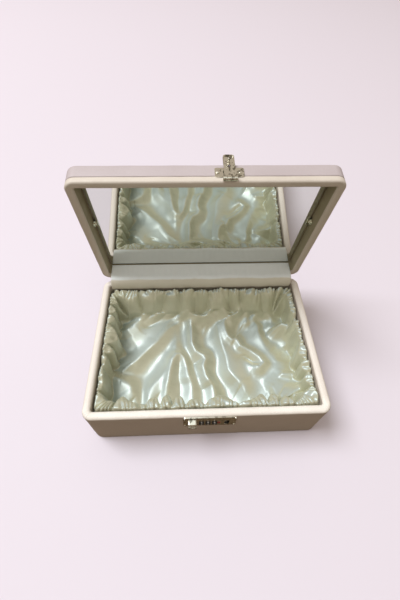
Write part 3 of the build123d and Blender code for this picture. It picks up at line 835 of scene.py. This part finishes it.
@dataclass
class LidCover:
    """Leatherette of the lid: rounded lip round the mirror and the cover above it."""

    corner_radius: float = 11.0
    corner_steps: int = 24
    rim_width: float = 8.5
    lip_height: float = 7.0
    lid_height: float = 22.0
    recess_depth: float = 18.0
    groove_round: float = 0.9
    groove_depth: float = 1.7
    groove_gap: float = 0.3
    edge_round: float = 2.4
    crown: tuple[Ring, ...] = ((6.0, 0.12), (20.0, 0.2), (60.0, 0.2))
    longest_edge: float = 7.0
    unevenness: Ripple = Ripple(0.16, 16.0, 7.7)

    def lip_section(self) -> list[Ring]:
        """Section of the lip from deep in the recess round to the groove."""
        edge, groove = self.edge_round, self.groove_round
        rings = [(self.rim_width, self.recess_depth)]
        rings += arc((self.rim_width - edge, edge), edge, 0, -90)
        rings += arc((edge, edge), edge, 270, 180)
        rings += arc((groove, self.lip_height - groove), groove, 180, 90)
        rings.append((self.groove_depth, self.lip_height))
        return rings

    def top_section(self) -> list[Ring]:
        """Section of the cover from the groove over the top edge."""
        edge, groove = self.edge_round, self.groove_round
        low = self.lip_height + self.groove_gap
        rings = [(self.groove_depth, low)]
        rings += arc((groove, low + groove), groove, 270, 180)
        rings += arc((edge, self.lid_height - edge), edge, 180, 90)
        rings += [(inset, self.lid_height + rise) for inset, rise in self.crown]
        return rings

    def mark_recess(self, bm: BMesh, half: Ring, level: float) -> None:
        """Give the wall round the mirror the second finish, a darker leatherette that is painted shade in
        the recess.

        Args:
            bm: Mesh of the lip, closed.
            half: Half sizes of the lid.
            level: Height of the closed lid's rim plane.
        """
        for face in bm.faces:
            middle = face.calc_center_median()
            inset = min(half[0] - abs(middle.x), half[1] - abs(middle.y))
            if inset > self.rim_width / 2 and middle.z > level + self.edge_round:
                face.material_index = 1

    def build(self, lid: OpenLid, half: Ring, level: float, finishes: dict[str, Material]) -> None:
        """Make both pieces.

        Args:
            lid: Pose of the lid.
            half: Half sizes of the lid.
            level: Height of the closed lid's rim plane.
            finishes: Finishes of the lip, of the recess round the mirror, darkened as painted shade, and of
                the top.
        """
        parts = (
            ("lid_lip", self.lip_section(), "lid_rim_cover", finishes["lip"]),
            ("lid_top_leatherette", self.top_section(), "lid_cover", finishes["top"]),
        )
        for name, section, node, material in parts:
            rings = [(inset, level + height) for inset, height in section]
            is_top = node == "lid_cover"
            bm = ringed_shell(half, self.corner_radius, rings, self.corner_steps, closed=is_top)
            finish_shell(bm, self.longest_edge, self.unevenness)
            if not is_top:
                self.mark_recess(bm, half, level)
            lid.turn(bm)
            piece = show(name, bm, material)
            if not is_top:
                piece.data.materials.append(finishes["recess"])
            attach(piece, "lid")
            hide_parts(node)


@dataclass(frozen=True)
class Fold:
    """One fold of the satin: its line on the tray's floor and its section."""

    line: tuple[Ring, ...]
    height: float
    left: float
    right: float


def smooth_share(value: np.ndarray) -> np.ndarray:
    """Smooth step from 0 to 1 of values clipped to that range."""
    share = np.clip(value, 0.0, 1.0)
    return share * share * (3.0 - 2.0 * share)


def wobble(points: np.ndarray, ripple: Ripple) -> np.ndarray:
    """Smooth noise at each point.

    Args:
        points: Rows of x, y and z.
        ripple: Depth, spacing and seed of the noise.

    Returns:
        Values between about minus and plus the depth.
    """
    offset = Vector((ripple.seed, 2.3 * ripple.seed, 0.7 * ripple.seed))
    values = [noise.noise(Vector(point) / ripple.spacing + offset) for point in points]
    return ripple.depth * np.array(values)


@dataclass
class SatinLining:
    """One gathered satin sheet over the floor and up the four walls."""

    half_x: float = 121.3
    front: float = -80.2
    back: float = 77.4
    coarse: float = 0.95
    fine: float = 0.5
    band: float = 24.0
    floor_level: float = 14.6
    crest_level: float = 65.6
    highest: float = 68.2
    cut_size: tuple[float, float] = (0.36, 0.27)
    corner_softness: float = 2.5
    edge_drop: float = 10.0
    edge_width: float = 3.6
    lobes: int = 34
    lobe_power: float = 0.7
    lobe_drift: Ripple = Ripple(1.5, 38.0, 6.1)
    lobe_size: float = 0.66
    lobe_sizes: Ripple = Ripple(0.95, 30.0, 4.4)
    lobe_size_range: Ring = (0.1, 1.5)
    shortest_lobe: float = 5.0
    lobe_reach: float = 12.5
    lobe_edge: Ripple = Ripple(1.6, 8.0, 2.9)
    front_overhang: float = 0.5
    wrinkles: int = 128
    wrinkle_power: float = 0.8
    wrinkle_drift: Ripple = Ripple(2.2, 15.0, 3.3)
    wall_slant: float = 0.35
    least_fall: float = 6.0
    fall_range: float = 13.0
    fall_power: float = 0.8
    fall_sizes: Ripple = Ripple(0.5, 26.0, 15.1)
    back_slope: float = 2.0
    foot_share: float = 0.72
    undercut: float = 7.5
    undercut_fade: float = 16.0
    crest_drift: Ripple = Ripple(1.4, 30.0, 12.7)
    crest_dips: float = 5.0
    crest_wrinkles: float = 6.0
    crest_wrinkle_middle: float = 0.6
    crest_wrinkle_reach: float = 11.0
    crest_sag: float = 0.035
    crumples: Ripple = Ripple(2.4, 6.0, 3.7)
    swells: Ripple = Ripple(2.6, 48.0, 2.2)
    dimples: Ripple = Ripple(0.7, 17.0, 7.1)
    pile_up: float = 5.0
    pile_start: float = 12.0
    pile_blend: float = 11.0
    pile_sink: float = 1.6
    fold_drift: tuple[Ripple, Ripple] = (Ripple(5.0, 34.0, 1.7), Ripple(5.0, 34.0, 8.4))
    fold_merge: float = 2.6
    fold_round: float = 2.3
    fold_power: float = 1.45
    fold_side_blend: float = 2.0
    fold_end_slope: float = 4.0
    fold_end_height: float = 0.4
    folds: tuple[Fold, ...] = (
        Fold(((-112, 33), (-94, 40), (-73, 49), (-52, 57), (-35, 62), (-16, 64), (2, 64)), 16, 13, 34),
        Fold(((-100, -26), (-83, -6), (-66, 11), (-50, 26), (-35, 38), (-18, 47)), 13, 23, 10),
        Fold(((-76, -62), (-63, -43), (-54, -29), (-45, -12), (-38, 6), (-35, 34)), 10, 12, 21),
        Fold(
            ((-47, -68), (-46, -44), (-44, -24), (-41, -8), (-36, -1), (-30, 0), (-25, -5),
             (-21, -16), (-18, -36), (-16, -66)),
            14, 9, 12,
        ),
        Fold(
            ((-11, 60), (-13, 44), (-12, 29), (-11, 14), (-6, 3), (3, -3), (5, -8), (1, -16),
             (1, -26), (6, -38), (11, -68)),
            17, 10, 12,
        ),
        Fold(
            ((9, 64), (14, 48), (19, 35), (22, 18), (25, 2), (31, -18), (41, -37), (58, -66)),
            14, 31, 10,
        ),
        Fold(
            ((30, 76), (27, 62), (27, 48), (28, 34), (34, 22), (49, 10), (62, 2), (72, -7),
             (76, -15), (70, -20), (62, -17), (52, -9)),
            17, 12, 10,
        ),
        Fold(
            ((66, 64), (70, 44), (77, 22), (87, 0), (94, -13), (92, -22), (84, -40), (70, -66)),
            11, 12, 18,
        ),
        Fold(((82, -62), (92, -56), (102, -52), (116, -46)), 26, 20, 14),
        Fold(((98, 40), (106, 32), (112, 24), (117, 12)), 28, 14, 13),
        Fold(((86, -31), (96, -29), (106, -31), (118, -38)), 15, 8, 10),
        Fold(((-26, 74), (-22, 60), (-14, 50), (-3, 46), (8, 49), (16, 58), (20, 74)), 26, 6, 12),
        Fold(((24, 76), (26, 60), (31, 48), (38, 43), (46, 48), (53, 60), (58, 76)), 25, 6, 10),
        Fold(((54, 76), (58, 62), (60, 48), (62, 27)), 12, 8, 13),
        Fold(((84, 78), (85, 64), (84, 48)), 16, 6, 8),
        Fold(((-56, 76), (-62, 66), (-72, 55), (-90, 41)), 12, 8, 12),
        Fold(((-40, 76), (-43, 66), (-46, 56)), 14, 6, 6),
        Fold(((-118, -18), (-106, -24), (-96, -30), (-78, -56)), 12, 9, 17),
        Fold(((-114, 62), (-102, 60), (-92, 64), (-82, 74)), 14, 8, 8),
        Fold(((114, 66), (104, 62), (96, 56), (90, 46)), 14, 8, 8),
    )

    def fold_heights(self, x: np.ndarray, y: np.ndarray) -> np.ndarray:
        """Height of all the folds together at each point.

        Args:
            x: Places across the tray.
            y: Places from front to back.

        Returns:
            Heights over the floor.
        """
        total = np.zeros_like(x)
        for fold in self.folds:
            best = np.full_like(x, np.inf)
            sign = np.ones_like(x)
            share = np.zeros_like(x)
            count = len(fold.line) - 1
            for index in range(count):
                ax, ay = fold.line[index]
                bx, by = fold.line[index + 1]
                dx, dy = bx - ax, by - ay
                along = np.clip(((x - ax) * dx + (y - ay) * dy) / (dx * dx + dy * dy), 0, 1)
                away = np.hypot(x - ax - along * dx, y - ay - along * dy)
                nearer = away < best
                best = np.where(nearer, away, best)
                beside = (dx * (y - ay) - dy * (x - ax)) / math.hypot(dx, dy)
                sign = np.where(nearer, np.clip(beside / self.fold_side_blend, -1, 1), sign)
                share = np.where(nearer, (index + along) / count, share)
            width = fold.left + (fold.right - fold.left) * (0.5 - 0.5 * sign)
            taper = np.clip(self.fold_end_slope * share + self.fold_end_height, 0, 1)
            taper *= np.clip(self.fold_end_slope * (1 - share) + self.fold_end_height, 0, 1)
            crest = np.exp(-((np.hypot(best, self.fold_round) / width) ** self.fold_power))
            total += (fold.height * taper * crest) ** self.fold_merge
        return total ** (1 / self.fold_merge)

    def from_walls(self, x: np.ndarray, y: np.ndarray) -> tuple[np.ndarray, np.ndarray]:
        """Distance to the walls and the direction towards them.

        Args:
            x: Places across the tray.
            y: Places from front to back.

        Returns:
            The distances, and rows of x and y that point at the wall.
        """
        reach = {
            Wall.LEFT: x + self.half_x,
            Wall.RIGHT: self.half_x - x,
            Wall.FRONT: y - self.front,
            Wall.BACK: self.back - y,
        }
        weights = np.stack([np.exp(-reach[wall] / self.corner_softness) for wall in Wall])
        total = np.maximum(weights.sum(axis=0), np.finfo(float).tiny)
        distance = np.maximum(-self.corner_softness * np.log(total), 0.0)
        ahead = np.array([wall.value for wall in Wall], float)
        return distance, (weights / total).T @ ahead

    def round_tray(self, x: np.ndarray, y: np.ndarray) -> tuple[np.ndarray, np.ndarray]:
        """Share of the way round the tray, and the same as points on a circle.

        Args:
            x: Places across the tray.
            y: Places from front to back.

        Returns:
            The shares, and rows of x, y and z.
        """
        radius = self.band
        run_x = self.half_x - radius
        run_y = (self.back - self.front) / 2 - radius
        level = y - (self.back + self.front) / 2
        near_x = np.clip(x, -run_x, run_x)
        near_y = np.clip(level, -run_y, run_y)
        angle = np.arctan2(level - near_y, x - near_x) % (2 * math.pi)
        first_half = near_y + run_x - near_x
        second_half = 2 * run_y + 3 * run_x + near_x - near_y
        straight = np.where(angle < math.pi, first_half, second_half)
        whole = 4 * run_x + 4 * run_y + 2 * math.pi * radius
        share = (radius * angle + straight) / whole
        turn = 2 * math.pi * share
        size = whole / (2 * math.pi)
        return share, np.stack([size * np.cos(turn), size * np.sin(turn), np.zeros_like(turn)], axis=1)

    def shape(self, x: np.ndarray, y: np.ndarray) -> tuple[np.ndarray, np.ndarray]:
        """Height of the sheet at each point and how far it moves to the wall.

        Args:
            x: Places across the tray.
            y: Places from front to back.

        Returns:
            Heights over the table, and rows of x and y.
        """
        flat = np.stack([x, y, np.zeros_like(x)], axis=1)
        distance, ahead = self.from_walls(x, y)
        share, ring = self.round_tray(x, y)
        ring[:, 2] = self.wall_slant * distance
        phase = self.lobes * share + wobble(ring, self.lobe_drift)
        lobe = np.abs(np.sin(math.pi * phase)) ** self.lobe_power
        phase = self.wrinkles * share + wobble(ring, self.wrinkle_drift)
        wrinkle = np.abs(np.sin(math.pi * phase)) ** self.wrinkle_power
        size = self.lobe_size + wobble(ring, self.lobe_sizes)

        reach = self.shortest_lobe + wobble(ring, self.lobe_edge)
        reach += self.lobe_reach * lobe * np.clip(size, *self.lobe_size_range)
        reach *= 1.0 + self.front_overhang * np.clip(-ahead[:, 1], 0, 1)
        hang = 0.5 + wobble(ring, self.fall_sizes)
        fall = self.least_fall + self.fall_range * np.clip(hang, 0, 1)
        fall *= 1.0 + self.back_slope * np.clip(ahead[:, 1], 0, 1)
        past = distance - self.foot_share * reach
        gone = smooth_share(past / fall) ** self.fall_power

        drift_x, drift_y = (wobble(flat, drift) for drift in self.fold_drift)
        floor = self.floor_level + self.fold_heights(x + drift_x, y + drift_y)
        floor += wobble(flat, self.swells) + wobble(flat, self.dimples)
        beside = 1.0 - smooth_share((distance - self.pile_start) / self.pile_blend)
        floor += beside * (self.pile_up * lobe * np.clip(size, 0, 1) - self.pile_sink + wrinkle)

        crest = self.crest_level + wobble(ring, self.crest_drift) - self.crest_dips * (1.0 - lobe)
        fade = np.exp(-distance / self.crest_wrinkle_reach)
        crest += self.crest_wrinkles * (wrinkle - self.crest_wrinkle_middle) * fade
        crest += wobble(flat, self.crumples) - self.crest_sag * distance**2
        height = floor + (crest - floor) * (1.0 - gone)
        height -= self.edge_drop * np.clip(1.0 - distance / self.edge_width, 0, 1) ** 2
        under = gone * (1.0 - smooth_share((past - fall) / self.undercut_fade))
        return height, ahead * (self.undercut * under)[:, None]

    def spread(self, share: np.ndarray, low: float, high: float, cells: int) -> np.ndarray:
        """Places of the grid's lines, closer together beside the walls.

        Args:
            share: Place in the even grid, from 0 to 1.
            low: First place.
            high: Last place.
            cells: Cells of the grid along this axis.

        Returns:
            The places in millimetres.
        """
        edge = self.band / self.fine
        steps = [0.0, edge, cells - edge, cells]
        return np.interp(share * cells, steps, [low, low + self.band, high - self.band, high])

    def build(self, material: Material) -> Piece:
        """Make the sheet.

        Args:
            material: Its finish.

        Returns:
            The piece.
        """
        cells = []
        for extent in (2 * self.half_x, self.back - self.front):
            cells.append(int(2 * self.band / self.fine + (extent - 2 * self.band) / self.coarse))
        bm = bmesh.new()
        bmesh.ops.create_grid(bm, x_segments=cells[0], y_segments=cells[1], size=0.5)
        even = np.array([vert.co for vert in bm.verts])
        x = self.spread(even[:, 0] + 0.5, -self.half_x, self.half_x, cells[0])
        y = self.spread(even[:, 1] + 0.5, self.front, self.back, cells[1])
        height, moved = self.shape(x, y)
        height = np.minimum(height, self.highest)
        for vert, *place in zip(bm.verts, x + moved[:, 0], y + moved[:, 1], height):
            vert.co = place
        axes = {"use_axis_x": True, "use_axis_y": True, "use_axis_z": True}
        bmesh.ops.smooth_vert(bm, verts=bm.verts, factor=0.5, **axes)
        piece = show("satin_lining", bm, material)
        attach(piece, "base")
        walls = [f"satin_wall_{wall.name.lower()}" for wall in Wall]
        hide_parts("satin_floor", *walls)
        return piece


@dataclass
class HingeFlap:
    """Satin strip that bridges the hinge between mirror and tray."""

    half_width: float = 118.5
    cut_length: float = 45.5
    thickness: float = 0.5
    columns: int = 240
    rows: int = 64
    route: tuple[Ring, ...] = (
        (103.2, 82.75),
        (96.0, 81.5),
        (90.0, 80.7),
        (84.5, 80.0),
        (80.6, 77.8),
        (78.9, 74.0),
        (78.4, 69.0),
        (78.5, 63.2),
    )
    bends_from: tuple[float, float, float] = (0.0, 0.0795, 0.072)
    bends_to: tuple[float, float, float] = (0.0, 0.0905, 0.0805)
    puckers: Ripple = Ripple(0.35, 5.0, 0.3)
    pucker_run: float = 2.0
    waves: Ripple = Ripple(0.8, 28.0, 4.2)
    wave_run: float = 1.4
    wave_lean: float = 0.55
    loose_to: float = 1.05
    loose_power: float = 0.6

    def point(self, share: float) -> tuple[float, float]:
        """Place on the strip's section, by a smooth curve through the route.

        Args:
            share: From 0 at the mirror to 1 in the tray.

        Returns:
            Y and Z in millimetres.
        """
        spot = share * (len(self.route) - 1)
        index = min(int(spot), len(self.route) - 2)
        part = spot - index
        ends = [self.route[max(0, min(len(self.route) - 1, index + step))] for step in (-1, 0, 1, 2)]
        weights = (
            0.5 * (-part + 2 * part**2 - part**3),
            0.5 * (2 - 5 * part**2 + 3 * part**3),
            0.5 * (part + 4 * part**2 - 3 * part**3),
            0.5 * (-(part**2) + part**3),
        )
        return tuple(sum(weight * end[axis] for weight, end in zip(weights, ends)) for axis in (0, 1))

    def build(self, material: Material) -> Piece:
        """Make the strip.

        Args:
            material: Its finish.

        Returns:
            The piece.
        """
        bm = bmesh.new()
        bmesh.ops.create_grid(bm, x_segments=self.columns, y_segments=self.rows, size=0.5)
        for vert in bm.verts:
            share = 0.5 - vert.co.y
            x = vert.co.x * 2 * self.half_width
            y, z = self.point(min(max(share, 0.0), 1.0))
            puckers, waves = self.puckers, self.waves
            pucker = noise.noise(Vector((x / puckers.spacing, share * self.pucker_run, puckers.seed)))
            wave = noise.noise(Vector((x / waves.spacing, share * self.wave_run, waves.seed)))
            loose = math.sin(math.pi * min(1.0, share * self.loose_to)) ** self.loose_power
            lift = loose * (puckers.depth * pucker + waves.depth * wave)
            vert.co = Vector((x, y - self.wave_lean * wave * loose, z + lift))
        piece = show("hinge_flap_satin", bm, material)
        solid = piece.modifiers.new("thickness", "SOLIDIFY")
        solid.thickness = self.thickness * MM
        solid.offset = 0.0
        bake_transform(piece)
        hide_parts("hinge_flap")
        return piece


@dataclass
class WheelFigures:
    """Figures 0 to 9 printed round one number wheel."""

    node: str
    body: str
    shown: int
    size: float = 3.1
    raised: float = 0.03
    curve_steps: int = 3
    sharp: float = 30.0
    count: int = 10

    def digit(self, figure: int) -> bpy.types.Mesh:
        """Flat mesh of one figure, upright in XY.

        Args:
            figure: The figure.

        Returns:
            Its mesh.
        """
        text = bpy.data.curves.new(f"figure_{figure}", "FONT")
        text.body = str(figure)
        text.size = self.size
        text.align_x = "CENTER"
        text.align_y = "CENTER"
        text.extrude = self.raised
        text.resolution_u = self.curve_steps
        holder = bpy.data.objects.new(text.name, text)
        mesh = bpy.data.meshes.new_from_object(holder)
        bpy.data.objects.remove(holder)
        return mesh

    def build(self, material: Material) -> Piece:
        """Make the figures of the wheel.

        Args:
            material: Their finish.

        Returns:
            The piece.
        """
        low, high = (Vector(corner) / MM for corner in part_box(self.node))
        centre = (low + high) / 2
        radius = (high.y - low.y) / 2
        upright = Matrix.Rotation(math.radians(90), 4, "X")
        outward = Matrix.Translation((0.0, -radius, 0.0))
        step = 2 * math.pi / self.count
        bm = bmesh.new()
        for figure in range(self.count):
            turn = Matrix.Rotation(step * (figure - self.shown), 4, "X")
            mesh = self.digit(figure)
            mesh.transform(Matrix.Translation(centre) @ turn @ outward @ upright)
            bm.from_mesh(mesh)
            bpy.data.meshes.remove(mesh)
        piece = show(f"{self.node}_figures", bm, material, self.sharp)
        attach(piece, self.body)
        return piece


@dataclass(frozen=True)
class Lamp:
    """One square soft lamp, in metres and watts."""

    name: str
    place: tuple[float, float, float]
    aim: tuple[float, float, float]
    size: float
    power: float
    colour: Colour

    def hang(self) -> None:
        """Make the lamp and point it at its aim."""
        data = bpy.data.lights.new(self.name, "AREA")
        data.shape = "SQUARE"
        data.size = self.size
        data.energy = self.power
        data.color = self.colour
        light = bpy.data.objects.new(self.name, data)
        turn = (Vector(self.aim) - Vector(self.place)).to_track_quat("-Z", "Y")
        light.matrix_world = Matrix.Translation(self.place) @ turn.to_matrix().to_4x4()
        bpy.context.scene.collection.objects.link(light)


@dataclass
class Studio:
    """Camera, floor and soft lights."""

    focal_pixels: float = 339.84
    frame_height: float = 600.0
    centre_pixel: tuple[float, float] = (198.61, 271.18)
    frame_middle: tuple[float, float] = (200.0, 300.0)
    film_height: float = 36.0
    nearest: float = 0.01
    eye: tuple[float, float, float] = (-21.03, -193.29, 430.37)
    pitch: float = 0.88478
    yaw: float = 0.06004
    roll: float = 0.03107
    lamps: tuple[Lamp, ...] = (
        Lamp("key", (-2.6, 0.7, 5.2), (0.0, 0.0, 0.06), 2.6, 264.0, (0.985, 0.98, 1.0)),
        Lamp("top", (-0.1, -0.055, 0.62), (0.0, 0.03, 0.05), 0.35, 0.34, (0.80, 0.97, 1.0)),
        Lamp("window", (-1.6, 0.2, 1.0), (0.0, 0.0, 0.06), 0.35, 0.8, (0.62, 0.86, 1.0)),
    )
    room_light: Colour = (1.0, 0.86, 0.72)
    room_strength: float = 0.5
    room_seen: Colour = (0.87, 0.78, 0.82)
    floor_reach: float = 4000.0

    def camera(self) -> None:
        """Make the camera that stands where the photograph was taken."""
        data = bpy.data.cameras.new("camera")
        data.sensor_fit = "VERTICAL"
        data.sensor_height = self.film_height
        data.lens = self.focal_pixels / self.frame_height * self.film_height
        data.shift_x = (self.frame_middle[0] - self.centre_pixel[0]) / self.frame_height
        data.shift_y = (self.centre_pixel[1] - self.frame_middle[1]) / self.frame_height
        data.clip_start = self.nearest
        camera = bpy.data.objects.new("camera", data)
        level = Matrix.Rotation(-self.yaw, 4, "Z")
        tilt = Matrix.Rotation(math.radians(90) - self.pitch, 4, "X")
        twist = Matrix.Rotation(self.roll, 4, "Z")
        camera.matrix_world = Matrix.Translation(Vector(self.eye) * MM) @ level @ tilt @ twist
        bpy.context.scene.collection.objects.link(camera)
        bpy.context.scene.camera = camera
        bpy.context.scene.view_settings.view_transform = "Standard"

    def room(self) -> None:
        """Set the room's own light and the pale tone that the camera sees."""
        world = bpy.data.worlds.new("room")
        world.use_nodes = True
        tree = world.node_tree
        light = tree.nodes["Background"]
        light.inputs["Color"].default_value = with_alpha(self.room_light)
        light.inputs["Strength"].default_value = self.room_strength
        seen = tree.nodes.new("ShaderNodeBackground")
        seen.inputs["Color"].default_value = with_alpha(self.room_seen)
        path = tree.nodes.new("ShaderNodeLightPath")
        mixer = tree.nodes.new("ShaderNodeMixShader")
        tree.links.new(path.outputs["Is Camera Ray"], mixer.inputs[0])
        tree.links.new(light.outputs[0], mixer.inputs[1])
        tree.links.new(seen.outputs[0], mixer.inputs[2])
        tree.links.new(mixer.outputs[0], tree.nodes["World Output"].inputs["Surface"])
        bpy.context.scene.world = world

    def build(self) -> None:
        """Set up the camera, the lights and the floor."""
        self.camera()
        for lamp in self.lamps:
            lamp.hang()
        self.room()
        bm = bmesh.new()
        bmesh.ops.create_grid(bm, x_segments=1, y_segments=1, size=self.floor_reach)
        show("floor", bm, PaleFloor("pale_floor").build())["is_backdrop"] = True


def frame_finishes() -> dict[str, Material]:
    """Finish of each material slot of the frame."""
    steel_gloss = Patches(260.0, 4.0, 0.25, 0.75, 0.25, 0.42)
    # Patches of painted dark reflection on the steel
    steel_reflection_patches = Patches(300.0, 1.5, 0.53, 0.64, 0.0, 0.6)
    brushed = Relief(900.0, 2.0, 0.18, 0.00004)
    return {
        "leatherette": Leatherette("leatherette").build(),
        "satin": Satin("satin").build(),
        "board": Fibrous("fibreboard", (0.55, 0.43, 0.30), (0.42, 0.31, 0.20)).build(),
        "card": Fibrous("grey_card", (0.52, 0.48, 0.41), (0.42, 0.38, 0.32), 900.0).build(),
        "foam": Fibrous("foam", (0.88, 0.86, 0.80), (0.74, 0.71, 0.64), 1600.0, (1.0, 1.0, 1.0)).build(),
        "backing_paper": Fibrous("backing_paper", (0.60, 0.47, 0.42), (0.52, 0.40, 0.35), 1200.0).build(),
        "mirror": MirrorGlass("mirror").build(),
        "nickel": Metal("nickel").build(),
        "steel": Metal(
            "zinc_steel", (0.58, 0.58, 0.57), (0.40, 0.40, 0.40), steel_reflection_patches, steel_gloss, brushed
        ).build(),
        "wheel": Gloss("wheel_black", (0.015, 0.014, 0.014)).build(),
        "index_red": Gloss("index_red", (0.32, 0.015, 0.025), roughness=0.25).build(),
    }


def dress_frame(frame: dict, finishes: dict[str, Material]) -> None:
    """Give every piece of the frame the finish of its slot.

    Args:
        frame: The loaded frame.
        finishes: Finish of each slot.
    """
    slots = {row["node"]: row["material_slot"] for row in frame["record"]["subparts"]}
    for name, piece in frame["nodes"].items():
        piece.data.materials.clear()
        piece.data.materials.append(finishes[slots[name]])


def build_covers(frame: dict) -> None:
    """Make the leatherette of base and lid.

    Args:
        frame: The loaded frame.
    """
    low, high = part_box("base_wall_cover")
    half = ((high[0] - low[0]) / 2 / MM, (high[1] - low[1]) / 2 / MM)
    rim_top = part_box("base_rim_cover")[1][2]
    # The base's rim strip is painted light, paler than the walls of the same leatherette
    base = Leatherette("base_leatherette", lit_rim_from=rim_top - LIT_RIM_STRIP * MM)
    BaseCover().build(half, base.build())
    # The lip is the same leatherette given a paler, creamier tone: painted light
    lip = Leatherette("lit_lip_leatherette", (0.68, 0.62, 0.55), (0.60, 0.54, 0.47))
    # The recess round the mirror gets a darker copy of the leatherette: painted shade
    recess = Leatherette("recess_shade_leatherette", (0.38, 0.34, 0.23), (0.32, 0.29, 0.19))
    top = Leatherette("lid_leatherette", (0.52, 0.46, 0.475), (0.46, 0.40, 0.41))
    finishes = {"lip": lip.build(), "recess": recess.build(), "top": top.build()}
    lid = OpenLid.from_frame(frame["joints"])
    LidCover().build(lid, half, rim_top / MM + RIM_GAP, finishes)


def build_satin(material: Material) -> None:
    """Make the satin lining and the flap over the hinge.

    Args:
        material: Finish of the lining.
    """
    SatinLining().build(material)
    flap = Satin(
        "flap_satin",
        colour=(0.90, 0.97, 1.0),
        deep=(0.83, 0.91, 0.95),
        # Painted sheen: the cool tone where the flap faces up and to the left
        cool=(0.92, 0.98, 1.0),
        # Painted shade: below this height the flap turns down into the tray and is darkened
        shaded_below=0.0792,
        gloss=Patches(70.0, 3.0, 0.3, 0.7, 0.38, 0.48),
        metallic=0.0,
    )
    HingeFlap().build(flap.build())


def main() -> None:
    """Build the whole scene."""
    logging.basicConfig(level=logging.INFO, format="%(message)s")
    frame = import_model()
    finishes = frame_finishes()
    dress_frame(frame, finishes)
    build_covers(frame)
    build_satin(finishes["satin"])
    white = Gloss("figure_white", (0.85, 0.84, 0.80), roughness=0.4).build()
    for number, shown in enumerate(SHOWN_FIGURES, start=1):
        WheelFigures(f"number_wheel_{number}", f"wheel_{number}", shown).build(white)
    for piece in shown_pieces():
        LOG.info("piece %s", piece.name)
    Studio().build()


if __name__ == "__main__":
    main()
